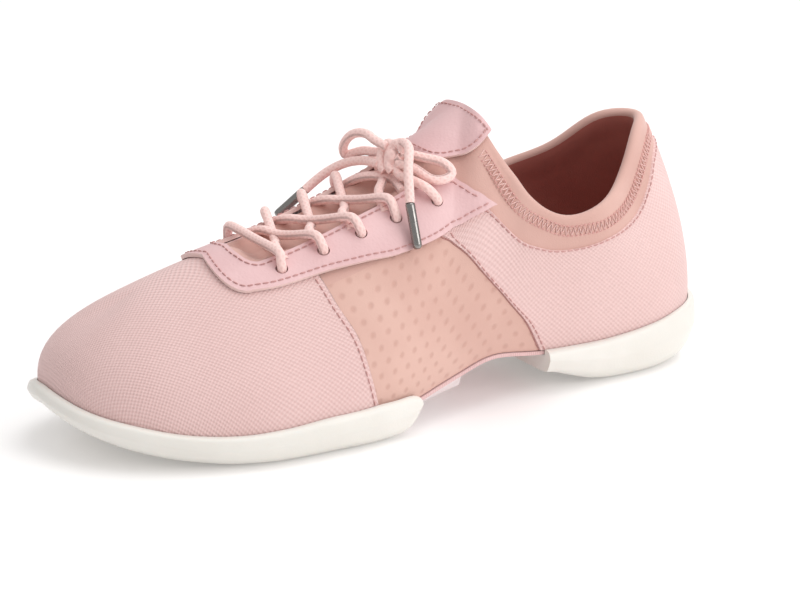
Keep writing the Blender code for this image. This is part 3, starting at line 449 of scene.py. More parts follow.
def sheet_solid(points, faces, outer, inner, edges=()):
    """Closes the space between two offsets of a sheet. edges maps a boundary point to the points that
    round its edge, from the outer side to the inner."""
    edges = dict(edges)
    count = len(points)
    every = [*outer, *inner]
    solid = [list(f) for f in faces]
    solid += [[i + count for i in reversed(f)] for f in faces]
    rows = {}
    for a, b in boundary_edges(faces):
        for i in (a, b):
            if i in rows:
                continue
            rows[i] = [i]
            for point in edges.get(i, ()):
                rows[i].append(len(every))
                every.append(point)
            rows[i].append(i + count)
        if len(rows[a]) == len(rows[b]):
            pairs = zip(rows[a], rows[a][1:], rows[b], rows[b][1:])
            solid += [[b0, a0, a1, b1] for a0, a1, b0, b1 in pairs]
        else:
            solid.append(rows[b][:1] + rows[a] + rows[b][1:][::-1])
    return np.array(every), solid


def outward(stations):
    """Unit normals of the bottom edge in plan."""
    zero = np.zeros(len(stations))
    along = last_point(stations + PLAN_STEP, zero) - last_point(stations - PLAN_STEP, zero)
    return unit(np.column_stack([-along[:, 1], along[:, 0], zero]))


def edge_points(stations, out, height):
    """Points a distance out from the bottom edge, at a height above the floor."""
    base = last_point(stations, np.zeros(len(stations)))
    points = base + outward(stations) * np.asarray(out, float).reshape(-1, 1)
    points[:, 2] = height
    return points


def cup_contact(stations, height):
    """Points on the upper's outside at a height, a clearance off it."""
    low = np.zeros(len(stations))
    high = np.full(len(stations), 0.5)
    for _ in range(HALVINGS):
        middle = 0.5 * (low + high)
        over = last_point(stations, middle)[:, 2] > height
        high = np.where(over, middle, high)
        low = np.where(over, low, middle)
    return skin(stations, 0.5 * (low + high), np.full(len(stations), CLEARANCE))


def cup_profile(rows):
    """The profile of a cup sole's side, as section_piece takes it."""
    sole = table(SOLE_COLUMNS, rows)

    def profile(stations):
        side = outer_side(stations)
        value = {
            name: np.array([read(np.column_stack([sole["station"], sole[name]]), s) for s in side])
            for name in SOLE_COLUMNS[1:]
        }
        bed = bed_height(stations)
        floor = bed - 2.0 * CLEARANCE - BOARD
        rise = value["rise"] * CUP_RISE
        rim = bed + rise
        edge = value["edge"] * ARCH_HEIGHT
        tread = value["tread"] * ARCH_HEIGHT
        tuck = value["tuck"] * CUP_TUCK
        wall = rim - edge
        contact = cup_contact(stations, rim)
        half_up = cup_contact(stations, bed + 0.5 * rise)
        reach = ((contact - edge_points(stations, 0.0 * rim, rim)) * outward(stations)).sum(1)
        proud = np.maximum(RIM_PROUD + 0.0 * rim, reach + LIP_LEAST)
        bed_corner = edge_points(stations, CLEARANCE + 0.0 * rim, bed)
        floor_corner = edge_points(stations, CLEARANCE + 0.0 * rim, floor)
        layers = [
            floor_corner,
            bed_corner,
            half_up,
            contact,
            edge_points(stations, 0.5 * (reach + proud), rim),
            edge_points(stations, proud, rim - LIP_ROUND),
            edge_points(stations, proud + WALL_SWELL, rim - 0.42 * wall),
            edge_points(stations, proud + 0.4 * WALL_SWELL, rim - 0.50 * wall),
            edge_points(stations, proud - 0.30 * tuck, edge + 0.20 * wall),
            edge_points(stations, proud - tuck, edge),
            edge_points(stations, proud - tuck - TREAD_CORNER, tread),
        ]
        return np.stack(layers, axis=1)

    return profile


def lengths_along(points):
    """Each point's distance along the line from its first point."""
    return np.concatenate([[0.0], np.cumsum(np.linalg.norm(np.diff(points, axis=0), axis=1))])


def at_lengths(rows, lengths, wanted):
    """Values of the rows at the wanted distances along their line."""
    return np.stack([np.interp(wanted, lengths, rows[:, i]) for i in range(3)], axis=-1)


def smooth_route(route, spacing):
    """Points at an even spacing on a smooth curve through the route's own points."""
    count = len(route)
    places = np.linspace(0.0, count - 1, STRETCH_PARTS * (count - 1) + 1)
    fine, _ = spline(route, places, False)
    lengths = lengths_along(fine)
    steps = max(1, round(lengths[-1] / spacing))
    return at_lengths(fine, lengths, np.linspace(0.0, lengths[-1], steps + 1))


def halved(route):
    """The route with the middle of each stretch added, so that the curve through it doesn't swing out."""
    points = [route[0]]
    for a, b in zip(route, route[1:]):
        points += [0.5 * (a + b), b]
    return points


def strand_place(place, height):
    """A point off the last at a place, which is a station, a share and whether it is on the outer side."""
    station, share, outer = place
    return skin([station if outer else float(mirror(station))], [share], [height])[0]


def over_ridge(x, height):
    """The point over the ridge of the tongue at a distance along the shoe."""
    low, high = float(TONGUE), float(TOE)
    for _ in range(HALVINGS):
        middle = 0.5 * (low + high)
        if skin([middle], [1.0], [height])[0][0] < x:
            low = middle
        else:
            high = middle
    return skin([low], [1.0], [height])[0]


# Meshes of the scene's pieces


def new_object(name, data):
    """An object in the scene."""
    made = bpy.data.objects.new(name, data)
    bpy.context.scene.collection.objects.link(made)
    return made


def make(name, points, faces, material, marks=None, places=None, smooth_angle=40.0):
    """A piece in the row's frame. material is one material or a list, and marks its number for each face."""
    points = np.asarray(points) - np.array(SHOE_MIDDLE)
    mesh = bpy.data.meshes.new(name)
    mesh.from_pydata([tuple(p) for p in points], [], [list(f) for f in faces])
    for each in material if isinstance(material, list) else [material]:
        mesh.materials.append(each)
    if marks is not None:
        mesh.polygons.foreach_set("material_index", [int(m) for m in marks])
    if places is not None:
        layer = mesh.uv_layers.new(name="cloth")
        corners = np.zeros(len(mesh.loops), int)
        mesh.loops.foreach_get("vertex_index", corners)
        layer.data.foreach_set("uv", np.asarray(places)[corners].ravel())
    bm = bmesh.new()
    bm.from_mesh(mesh)
    bmesh.ops.recalc_face_normals(bm, faces=bm.faces)
    bm.to_mesh(mesh)
    bm.free()
    mesh.shade_smooth()
    mesh.set_sharp_from_angle(angle=math.radians(smooth_angle))
    made = new_object(name, mesh)
    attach(made, "root")
    return made


# Any direction that no tube starts in
TUBE_LEAN = (0.3, 0.1, 1.0)


def tube(name, path, radius, material, sides=14):
    """A round tube with closed ends. Its cloth layer holds the share of a turn and the length travelled."""
    path = np.asarray(path, float)
    along = unit(np.gradient(path, axis=0))
    up = np.cross(along[0], TUBE_LEAN)
    up /= np.linalg.norm(up)
    points, faces, places = [], [], []
    travelled = 0.0
    radius = np.broadcast_to(np.asarray(radius, float), len(path))
    for i, (place, ahead) in enumerate(zip(path, along)):
        up = up - ahead * np.dot(up, ahead)
        up /= np.linalg.norm(up)
        side = np.cross(ahead, up)
        if i:
            travelled += np.linalg.norm(place - path[i - 1])
        for k in range(sides):
            angle = 2.0 * math.pi * k / sides
            points.append(place + radius[i] * (math.cos(angle) * up + math.sin(angle) * side))
            places.append((k / sides, travelled))
    for i in range(len(path) - 1):
        for k in range(sides):
            m = (k + 1) % sides
            faces.append([i * sides + k, i * sides + m, (i + 1) * sides + m, (i + 1) * sides + k])
    faces.append(list(range(sides))[::-1])
    faces.append([(len(path) - 1) * sides + k for k in range(sides)])
    return make(name, points, faces, material, places=places, smooth_angle=60.0)


def on_skin(stations, shares, off):
    """Points off the surface, and the surface's normals there."""
    lift = 0.001
    low = skin(stations, shares, np.zeros(len(stations)))
    high = skin(stations, shares, np.full(len(stations), lift))
    normals = unit(high - low)
    return low + normals * off, normals


def inset(points, normals, distance):
    """The same line moved sideways over the surface."""
    side = unit(np.cross(normals, np.gradient(points, axis=0)))
    return points + side * distance


# Threads: each stitch is a short rounded piece, sunk a little into the cloth

STITCH_GAP = 0.0005
STITCH_SIDES = 6
STITCH_RINGS = ((0.0, 0.35), (0.10, 0.80), (0.30, 1.0), (0.70, 1.0), (0.90, 0.80), (1.0, 0.35))
STITCH_ARCH = 0.45
STITCH_SUNK = 0.2
STITCH_LIFT = 0.0001

# Length and thickness of a stitch
SEAM_STITCH = (0.0021, 0.00048)
TAB_STITCH = (0.0018, 0.00045)
BAND_STITCH = (0.0012, 0.0005)


def stitches(name, lines, size, material):
    """Rows of stitches along lines of points, each with its normals."""
    length, thickness = size
    points, faces = [], []
    for path, normals in lines:
        lengths = lengths_along(path)
        count = max(1, int(lengths[-1] / (length + STITCH_GAP)))
        pitch = lengths[-1] / count
        for k in range(count):
            begin = k * pitch + 0.5 * STITCH_GAP
            finish = (k + 1) * pitch - 0.5 * STITCH_GAP
            first = len(points)
            start, end = at_lengths(path, lengths, begin), at_lengths(path, lengths, finish)
            normal = at_lengths(normals, lengths, 0.5 * (begin + finish))
            ahead = (end - start) / np.linalg.norm(end - start)
            side = np.cross(normal, ahead)
            side /= np.linalg.norm(side)
            normal = np.cross(ahead, side)
            for part, width in STITCH_RINGS:
                arch = 4.0 * part * (1.0 - part)
                middle = at_lengths(path, lengths, begin + part * (finish - begin))
                middle = middle + normal * thickness * (STITCH_ARCH * arch - STITCH_SUNK)
                for m in range(STITCH_SIDES):
                    angle = 2.0 * math.pi * m / STITCH_SIDES
                    round_about = math.cos(angle) * side + math.sin(angle) * normal
                    points.append(middle + 0.5 * thickness * width * round_about)
            last = first + (len(STITCH_RINGS) - 1) * STITCH_SIDES
            for low in range(first, last, STITCH_SIDES):
                high = low + STITCH_SIDES
                for m in range(STITCH_SIDES):
                    n = (m + 1) % STITCH_SIDES
                    faces.append([low + m, low + n, high + n, high + m])
            faces.append([first + m for m in range(STITCH_SIDES)][::-1])
            faces.append([last + m for m in range(STITCH_SIDES)])
    return make(name, points, faces, material, smooth_angle=80.0)


# Materials

# The colour sockets among those of a Mix node
MIX_COLOURS = slice(6, 8)


class Shade:
    """A material's nodes, joined by short calls."""

    def __init__(self, name, colour, roughness):
        self.material = bpy.data.materials.new(name)
        self.material.use_nodes = True
        self.tree = self.material.node_tree
        self.shader = self.tree.nodes["Principled BSDF"]
        self.shader.inputs["Base Color"].default_value = (*colour, 1.0)
        self.shader.inputs["Roughness"].default_value = roughness

    def value(self, name, number):
        self.shader.inputs[name].default_value = number

    def link(self, source, socket):
        if isinstance(source, (int, float)):
            socket.default_value = source
        else:
            self.tree.links.new(source, socket)

    def math(self, operation, *sources):
        node = self.tree.nodes.new("ShaderNodeMath")
        node.operation = operation
        for source, socket in zip(sources, node.inputs):
            self.link(source, socket)
        return node.outputs[0]

    def place(self):
        """The two coordinates of the cloth layer, in metres."""
        node = self.tree.nodes.new("ShaderNodeUVMap")
        node.uv_map = "cloth"
        split = self.tree.nodes.new("ShaderNodeSeparateXYZ")
        self.link(node.outputs["UV"], split.inputs[0])
        return split.outputs[0], split.outputs[1]

    def object_place(self):
        return self.tree.nodes.new("ShaderNodeTexCoord").outputs["Object"]

    def noise(self, scale, detail):
        node = self.tree.nodes.new("ShaderNodeTexNoise")
        node.inputs["Scale"].default_value = scale
        node.inputs["Detail"].default_value = detail
        self.link(self.object_place(), node.inputs["Vector"])
        return node.outputs["Fac"]

    def cells(self, scale):
        node = self.tree.nodes.new("ShaderNodeTexVoronoi")
        node.inputs["Scale"].default_value = scale
        node.feature = "SMOOTH_F1"
        self.link(self.object_place(), node.inputs["Vector"])
        return node.outputs["Distance"]

    def between(self, source, low, high, to_low=0.0, to_high=1.0):
        node = self.tree.nodes.new("ShaderNodeMapRange")
        node.interpolation_type = "SMOOTHSTEP"
        self.link(source, node.inputs["Value"])
        for name, number in zip(("From Min", "From Max", "To Min", "To Max"), (low, high, to_low, to_high)):
            node.inputs[name].default_value = number
        return node.outputs[0]

    def mix(self, share, colour_a, colour_b):
        node = self.tree.nodes.new("ShaderNodeMix")
        node.data_type = "RGBA"
        self.link(share, node.inputs[0])
        for colour, socket in zip((colour_a, colour_b), node.inputs[MIX_COLOURS]):
            if isinstance(colour, tuple):
                socket.default_value = (*colour, 1.0)
            else:
                self.link(colour, socket)
        return node.outputs[2]

    def colour(self, source):
        self.link(source, self.shader.inputs["Base Color"])

    def roughness(self, source):
        self.link(source, self.shader.inputs["Roughness"])

    def bump(self, height, distance, strength=1.0):
        node = self.tree.nodes.new("ShaderNodeBump")
        node.inputs["Distance"].default_value = distance
        node.inputs["Strength"].default_value = strength
        self.link(height, node.inputs["Height"])
        self.link(node.outputs[0], self.shader.inputs["Normal"])


def waves(shade, place, pitch):
    """A sine over a coordinate, with its pitch in metres."""
    return shade.math("SINE", shade.math("MULTIPLY", place, 2.0 * math.pi / pitch))


def woven(name, colour, dark, pitch_across, pitch_up, depth):
    """Plain weave, darker in its hollows (painted shade) and in random patches."""
    shade = Shade(name, colour, roughness=0.85)
    u, v = shade.place()
    checks = shade.math("MULTIPLY", waves(shade, u, pitch_across), waves(shade, v, pitch_up))
    height = shade.math("MULTIPLY_ADD", checks, 0.5, 0.5)
    fuzz = shade.noise(scale=1400.0, detail=2.0)
    height = shade.math("MULTIPLY_ADD", fuzz, 0.25, height)
    patches = shade.noise(scale=38.0, detail=4.0)
    # The colour darkens where the weave is low, painted shade in its hollows, and in random patches
    hollow_shade_and_tone = shade.math("MULTIPLY_ADD", height, 0.55, shade.math("MULTIPLY", patches, 0.35))
    shade.colour(shade.mix(shade.between(hollow_shade_and_tone, 0.15, 0.85), dark, colour))
    shade.value("Sheen Weight", 0.25)
    shade.value("Sheen Roughness", 0.5)
    shade.bump(height, depth)
    return shade.material


def neoprene(name, colour, dark, dots=False):
    """Smooth stretch cloth, plain or with staggered rows of small round dents, each darkened with painted
    shade.
    """
    shade = Shade(name, colour, roughness=0.75)
    patches = shade.noise(scale=30.0, detail=4.0)
    base = shade.mix(shade.between(patches, 0.35, 0.7), dark, colour)
    grain = shade.noise(scale=2200.0, detail=2.0)
    height = shade.math("MULTIPLY", grain, 0.25)
    if dots:
        u, v = shade.place()
        row = shade.math("FLOOR", shade.math("DIVIDE", v, DOT_ROWS))
        odd = shade.math("MODULO", shade.math("ABSOLUTE", row), 2.0)
        across = shade.math("MULTIPLY_ADD", odd, 0.5, shade.math("DIVIDE", u, DOT_SPACING))
        x = shade.math("MULTIPLY", shade.math("SUBTRACT", shade.math("FRACT", across), 0.5), DOT_SPACING)
        up = shade.math("FRACT", shade.math("DIVIDE", v, DOT_ROWS))
        y = shade.math("MULTIPLY", shade.math("SUBTRACT", up, 0.5), DOT_ROWS)
        square = shade.math("ADD", shade.math("MULTIPLY", x, x), shade.math("MULTIPLY", y, y))
        dot = shade.between(shade.math("SQRT", square), 0.15 * DOT, 0.75 * DOT, 1.0, 0.0)
        # Each dent is darkened: painted shade in it
        base = shade.mix(shade.math("MULTIPLY", dot, 0.5), base, DENT_SHADE_COLOUR)
        height = shade.math("MULTIPLY_ADD", dot, -0.5, height)
    shade.colour(base)
    shade.value("Sheen Weight", 0.35)
    shade.value("Sheen Roughness", 0.4)
    shade.bump(height, distance=0.0003)
    return shade.material


def leather(name, colour, dark):
    """Smooth grained leather with a slight shine."""
    shade = Shade(name, colour, roughness=0.46)
    grain = shade.cells(scale=1100.0)
    fine = shade.noise(scale=900.0, detail=4.0)
    height = shade.math("MULTIPLY_ADD", grain, 0.7, shade.math("MULTIPLY", fine, 0.5))
    patches = shade.noise(scale=45.0, detail=4.0)
    shade.colour(shade.mix(shade.between(patches, 0.3, 0.75), dark, colour))
    shade.roughness(shade.between(fine, 0.2, 0.8, 0.38, 0.58))
    shade.value("Coat Weight", 0.12)
    shade.value("Coat Roughness", 0.35)
    shade.bump(height, distance=0.00009)
    return shade.material


def braided(name, colour, dark):
    """Strands that cross over each other around a round lace, darker between them: painted shade."""
    shade = Shade(name, colour, roughness=0.8)
    around, along = shade.place()
    turns = shade.math("MULTIPLY", around, 2.0 * math.pi * BRAID_STRANDS)
    steps = shade.math("MULTIPLY", along, 2.0 * math.pi / BRAID_PITCH)
    one = shade.math("SINE", shade.math("ADD", turns, steps))
    other = shade.math("SINE", shade.math("SUBTRACT", turns, steps))
    height = shade.math("MAXIMUM", one, other)
    height = shade.math("MULTIPLY_ADD", height, 0.5, 0.5)
    # The colour darkens between the strands: painted shade
    shade.colour(shade.mix(shade.between(height, 0.05, 0.8), dark, colour))
    shade.value("Sheen Weight", 0.2)
    shade.bump(height, distance=0.00013)
    return shade.material


def rubber(name, colour, dark, roughness):
    """Moulded rubber that lets a little light in."""
    shade = Shade(name, colour, roughness)
    patches = shade.noise(scale=28.0, detail=4.0)
    fine = shade.noise(scale=1500.0, detail=2.0)
    shade.colour(shade.mix(shade.between(patches, 0.3, 0.8), dark, colour))
    shade.roughness(shade.between(fine, 0.2, 0.8, roughness - 0.06, roughness + 0.10))
    shade.value("Subsurface Weight", 0.12)
    shade.value("Subsurface Radius", (0.004, 0.003, 0.0025))
    shade.bump(fine, distance=0.00006)
    return shade.material


def thread(name, colour, dark):
    """Twisted sewing thread."""
    shade = Shade(name, colour, roughness=0.7)
    fine = shade.noise(scale=1800.0, detail=2.0)
    shade.colour(shade.mix(shade.between(fine, 0.3, 0.7), dark, colour))
    shade.value("Sheen Weight", 0.15)
    shade.bump(fine, distance=0.00006)
    return shade.material


def metal(name):
    """Dark polished metal."""
    shade = Shade(name, (0.27, 0.26, 0.25), roughness=0.17)
    shade.value("Metallic", 1.0)
    fine = shade.noise(scale=700.0, detail=3.0)
    shade.roughness(shade.between(fine, 0.3, 0.8, 0.16, 0.34))
    shade.bump(fine, distance=0.00003)
    return shade.material


DOT = 0.0022
DOT_SPACING = 0.0062
DOT_ROWS = 0.0046
DENT_SHADE_COLOUR = (0.52, 0.285, 0.235)
BRAID_STRANDS = 5
BRAID_PITCH = 0.0022

PINK = (0.80, 0.575, 0.555)
PINK_DARK = (0.70, 0.46, 0.44)
QUARTER_PINK = (0.80, 0.57, 0.55)
QUARTER_DARK = (0.71, 0.475, 0.455)
SALMON = (0.70, 0.452, 0.385)
SALMON_DARK = (0.635, 0.39, 0.33)
COLLAR_PINK = (0.665, 0.415, 0.36)
COLLAR_DARK = (0.61, 0.365, 0.315)

CANVAS = woven("vamp_canvas", PINK, PINK_DARK, 0.0020, 0.0017, 0.00022)
QUARTER_CANVAS = woven("quarter_canvas", QUARTER_PINK, QUARTER_DARK, 0.0021, 0.0018, 0.00024)
DOTTED = neoprene("mid_panel", SALMON, SALMON_DARK, True)
COLLAR = neoprene("collar_neoprene", COLLAR_PINK, COLLAR_DARK)
LINING = neoprene("lining_cloth", (0.50, 0.165, 0.13), (0.42, 0.125, 0.10))
LEATHER = leather("pink_leather", (0.76, 0.505, 0.51), (0.70, 0.445, 0.45))
LACE_CLOTH = braided("lace_braid", (0.94, 0.67, 0.63), (0.88, 0.59, 0.55))
RAW_EDGE = leather("leather_edge", (0.84, 0.66, 0.62), (0.78, 0.58, 0.55))
THREAD = thread("seam_thread", (0.60, 0.325, 0.31), (0.50, 0.25, 0.235))
BAND_THREAD = thread("band_thread", (0.86, 0.60, 0.56), (0.78, 0.50, 0.465))
BAND_EDGE = thread("band_edge_thread", (0.68, 0.37, 0.34), (0.60, 0.31, 0.285))
# Painted shadow: the colour of the thin dark tube that stands for the shade in the step at the quarter's
# front edge
SEAM_SHADOW = thread("painted_seam_shadow", (0.46, 0.22, 0.20), (0.38, 0.17, 0.15))
RUBBER = rubber("white_rubber", (0.82, 0.80, 0.755), (0.76, 0.74, 0.69), 0.36)
# The lug is white rubber like the soles, tinted pink: painted pink light bounced onto it from the upper and
# the floor
LUG_RUBBER_PAINTED_BOUNCE = rubber("lug_rubber_painted_bounce", (0.80, 0.71, 0.71), (0.73, 0.63, 0.63), 0.5)
BOARD_CLOTH = woven("board_cloth", (0.78, 0.54, 0.53), (0.64, 0.40, 0.39), 0.0008, 0.0008, 0.0001)
DARK_METAL = metal("dark_metal")


# The upper, several times as fine as its solid, with a material for each panel

VAMP, QUARTER, MIDDLE, BOOTIE, INSIDE = range(5)

# Columns of the quarter, the middle panel and the vamp, then rows below and above the quarter's top edge
UPPER_GRID = (60, 30, 48, 30, 14)
GRID_ROUNDS = 10

# The tongue shows over this share, and this far past the front of the slot
THROAT_SHARE = 0.805
PAST_SLOT = 0.04

# Points over half a turn of the collar's rim
RIM_POINTS = 9

# A point this far outside the wall tells its normal's direction
NORMAL_TEST = 0.002

# The weave is measured along the shoe at this share, with so many points along and up it
WEAVE_SHARE = 0.3
WEAVE_STATIONS = 301
WEAVE_ROWS = 61
WEAVE_HEIGHTS = 41

# Over the toe it turns forward between these places, and down on both sides of the ridge
WEAVE_TURNS = (0.06, 0.115)
WEAVE_LEVEL = 0.05
WEAVE_FORWARD = 0.6
WEAVE_SIDEWAYS = 0.8
WEAVE_RIDGE = 0.012


def upper_grid(quarter, middle, vamp, low, high):
    """Stations, shares and panels of the outer side's grid, and where the wall stands over the neoprene."""
    columns = [(0, i / quarter) for i in range(quarter + 1)]
    columns += [(1, i / middle) for i in range(middle + 1)]
    columns += [(2, i / vamp) for i in range(vamp + 1)]
    rows = [(0, i / low) for i in range(low + 1)] + [(1, i / high) for i in range(high + 1)]
    zones = np.array([c[0] for c in columns])[:, None]
    parts = np.array([c[1] for c in columns])[:, None]
    bands = np.array([r[0] for r in rows])[None, :]
    levels = np.array([r[1] for r in rows])[None, :]
    shares = np.full((len(columns), len(rows)), 0.5)
    stations = np.zeros_like(shares)
    for _ in range(GRID_ROUNDS):
        back = read(QUARTER_EDGE, shares)
        front = read(VAMP_EDGE, shares)
        low_end = np.where(zones == 0, 0.0, np.where(zones == 1, back, front))
        high_end = np.where(zones == 0, back, np.where(zones == 1, front, float(TOE)))
        stations = low_end + parts * (high_end - low_end)
        split = read(QUARTER_TOP, stations)
        shares = np.where(bands == 0, levels * split, split + levels * (1.0 - split))
    nudge = STEP_HALF_WIDTH / STATION_LENGTH
    lift = STEP_HALF_WIDTH / SIDE_LENGTH
    below = bands == 0
    stations = stations - nudge * ((parts == 1.0) & (zones == 0) & below)
    stations = stations + nudge * ((parts == 0.0) & (zones == 1) & below)
    stations = stations - nudge * ((parts == 1.0) & (zones == 1))
    stations = stations + nudge * ((parts == 0.0) & (zones == 2))
    shares = shares - lift * ((levels == 1.0) & (zones == 0) & below)
    shares = shares + lift * ((levels == 0.0) & ~below & (zones == 0))
    canvas = ((zones == 0) & below) | (zones == 2)
    panel = np.where(zones == 2, VAMP, np.where(~below, BOOTIE, np.where(zones == 0, QUARTER, MIDDLE)))
    return stations, shares, canvas, panel


def cloth_places(stations, shares):
    """Distances along and up the surface, for the weave."""
    fine = np.linspace(0.0, TOE, WEAVE_STATIONS)
    line = last_point(fine, np.full(len(fine), WEAVE_SHARE))
    side = outer_side(stations)
    along = np.interp(side, fine, lengths_along(line))
    rows = np.linspace(0.0, TOE, WEAVE_ROWS)
    up = np.linspace(0.0, 1.0, WEAVE_HEIGHTS)
    heights = [path_length(last_point(np.full(len(up), station), up)) for station in rows]
    return np.column_stack([along, shares * np.interp(side, rows, heights)])


def vamp_places(points):
    """Distances forward and sideways over the toe, so that the weave runs straight across it."""
    x, y, z = points.T
    drop = WEAVE_LEVEL - z
    forward = x + WEAVE_FORWARD * drop * smooth(*WEAVE_TURNS, x)
    return np.column_stack([forward, y + WEAVE_SIDEWAYS * drop * np.tanh(y / WEAVE_RIDGE)])


def upper_sheet():
    """The upper as a sheet of faces: their panels, and for each point its place on the cloth, its share, its
    height over the neoprene and its normal."""
    stations, shares, canvas, panel = upper_grid(*UPPER_GRID)
    both = np.concatenate([stations.ravel(), mirror(stations).ravel()])
    every_share = np.concatenate([shares.ravel()] * 2)
    points = last_point(both, every_share)
    in_throat = (shares > THROAT_SHARE) & (stations < SLOT_FRONT + PAST_SLOT) & (stations > THROAT_BEGINS[0])
    marks = np.where(in_throat[:-1, :-1], BOOTIE, np.minimum(panel[:-1, :-1], panel[1:, 1:]))
    kept, faces, numbers, index = weld(points, two_sided_faces(*stations.shape))
    marks = marks.ravel().repeat(2)[numbers]
    places = cloth_places(both, every_share)[kept]
    on_vamp = np.concatenate([panel.ravel()] * 2)[kept] == VAMP
    places[on_vamp] = vamp_places(points[kept][on_vamp])
    lift = np.full(len(kept), -CANVAS_STEP)
    lift[index[np.concatenate([canvas.ravel()] * 2)]] = 0.0
    level = every_share[kept]
    points = points[kept]
    outside = skin(both[kept], level, np.full(len(kept), NORMAL_TEST)) - points
    normals = point_normals(points, faces)
    if (normals * outside).sum() < 0.0:
        faces = [face[::-1] for face in faces]
        normals = -normals
    return points, faces, marks, places, level, lift, normals


def build_upper():
    """The sheet closed into a shell, thicker towards the collar's rim and round at it."""
    points, faces, marks, places, level, lift, normals = upper_sheet()
    on_edge = boundary_edges(faces)
    after = dict(on_edge)
    before = {b: a for a, b in on_edge}
    rims = [i for i in after if level[i] > 0.5]
    bases = [i for i in after if level[i] <= 0.5]
    radius = 0.5 * COLLAR_WALL
    tangents = points[[after[i] for i in rims]] - points[[before[i] for i in rims]]
    away = unit(np.cross(tangents, normals[rims]))
    distances = np.sqrt(((points[:, None] - points[rims][None]) ** 2).sum(2))
    near = distances.argmin(1)
    gaps = distances.min(1)
    moved = points - away[near] * radius * (1.0 - smooth(0.0, RIM_REACH, gaps))[:, None]
    thick = WALL + (COLLAR_WALL - WALL) * (1.0 - smooth(RIM_THICK_FROM, RIM_THICK_TO, gaps))
    for i in bases:
        normals[i][2] = 0.0
        normals[i] /= np.linalg.norm(normals[i])
    outer = moved + normals * lift[:, None]
    inner = moved - normals * (CANVAS_STEP + thick)[:, None]
    rounding = {}
    for i, direction in zip(rims, away):
        centre = 0.5 * (outer[i] + inner[i])
        rounding[i] = [
            centre + radius * (math.cos(a) * normals[i] + math.sin(a) * direction)
            for a in np.linspace(0.0, math.pi, RIM_POINTS)[1:-1]
        ]
    solid_points, solid = sheet_solid(points, faces, outer, inner, rounding)
    every_place = [*places, *places]
    for i in rounding_order(faces, rounding):
        every_place += [places[i]] * len(rounding[i])
    first_round = 2 * len(points)
    marks = [*marks, *([INSIDE] * len(faces))]
    marks += [BOOTIE if max(face) >= first_round else VAMP for face in solid[2 * len(faces):]]
    materials = [CANVAS, QUARTER_CANVAS, DOTTED, COLLAR, LINING]
    piece = make("upper_shell", solid_points, solid, materials, marks, every_place)
    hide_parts("upper")


def rounding_order(faces, rounding):
    """Boundary points in the order in which sheet_solid adds their rounding."""
    seen = set()
    for a, b in boundary_edges(faces):
        for i in (a, b):
            if i not in seen:
                seen.add(i)
                if i in rounding:
                    yield i


def section_piece(name, stations, profile, across, material, angle=40.0):
    """A solid of sections across the shoe, as the soles are made."""
    outer = profile(stations)
    inner = profile(mirror(stations))
    rings = []
    for a, b in zip(outer, inner):
        steps = [i / (across + 1) for i in range(1, across + 1)]
        under = [a[-1] * (1 - f) + b[-1] * f for f in steps]
        over = [b[0] * (1 - f) + a[0] * f for f in steps]
        rings.append([*a, *under, *b[::-1], *over])
    size = len(rings[0])
    points = np.array([p for ring in rings for p in ring])
    faces = []
    for i in range(len(rings) - 1):
        for j in range(size):
            k = (j + 1) % size
            low, high = i * size, (i + 1) * size
            faces.append([low + j, low + k, high + k, high + j])
    last = (len(rings) - 1) * size
    if 0.0 < stations[0]:
        faces.append(list(range(size))[::-1])
    if stations[-1] < TOE:
        faces.append([last + j for j in range(size)])
    kept, faces, _, _ = weld(points, faces)
    points = points[kept]
    return make(name, points, faces, material, places=points[:, :2], smooth_angle=angle)


CORNER_PARTS = (0.25, 0.5, 0.75)
CORNER_REACH = 0.45

# How many sections each sole, the lug and the sheets inside have, and points across under them
FOREFOOT_SECTIONS = 96
HEEL_SECTIONS = 72
LUG_SECTIONS = 30
SHEET_SECTIONS = 120
ACROSS = 5
BOARD_ACROSS = 3

# The lug's lower corner, as pairs of a distance in and a height
LUG_CORNER = ((0.0005, 0.0003), (0.0012, 0.0))
LUG_DRAFT_PART = 0.7
LUG_DRAFT_HEIGHT = 0.0012
LUG_GAPS = 3.5
INSOLE_CORNER = 0.3


def sole_profile(rows):
    """The cup's profile with its corners rounded by more points."""
    profile = cup_profile(rows)

    def fine(stations):
        layers = profile(stations)
        out = []
        for layer in layers:
            corners = list(layer[:4])
            wall = layer[3:]
            for i in range(1, len(wall) - 1):
                before, here, ahead = wall[i - 1], wall[i], wall[i + 1]
                for f in CORNER_PARTS:
                    a = here + (before - here) * CORNER_REACH * (1.0 - f)
                    b = here + (ahead - here) * CORNER_REACH * f
                    corners.append(a * (1.0 - f) + b * f)
            corners.append(wall[-1])
            out.append(corners)
        return np.array(out)

    return fine


def lug_profile(stations):
    side = outer_side(stations)
    part = (side - LUG_REAR) / (LUG_FRONT - LUG_REAR)
    top = bed_height(stations) - LUG_GAPS * CLEARANCE - BOARD
    low = LUG_LOW_REAR + part * (LUG_LOW_FRONT - LUG_LOW_REAR)
    back = 0.0 * part - LUG_INSET
    layers = [
        edge_points(stations, back, top),
        edge_points(stations, back - LUG_DRAFT_PART * LUG_DRAFT, low + LUG_DRAFT_HEIGHT),
        *[edge_points(stations, back - LUG_DRAFT - reach, low + height) for reach, height in LUG_CORNER],
    ]
    return np.stack(layers, axis=1)


def board_profile(stations):
    bed = bed_height(stations)
    heights = (bed - CLEARANCE, bed - CLEARANCE - BOARD)
    return np.stack([edge_points(stations, 0.0 * bed, height) for height in heights], axis=1)


def insole_profile(stations):
    bed = bed_height(stations)
    out = 0.0 * bed - (CANVAS_STEP + WALL + INSOLE_MARGIN)
    layers = [
        edge_points(stations, out - INSOLE_EDGE, bed + INSOLE),
        edge_points(stations, out - INSOLE_CORNER * INSOLE_EDGE, bed + INSOLE - INSOLE_CORNER * INSOLE_EDGE),
        edge_points(stations, out, bed + INSOLE - INSOLE_EDGE),
        edge_points(stations, out, bed),
    ]
    return np.stack(layers, axis=1)


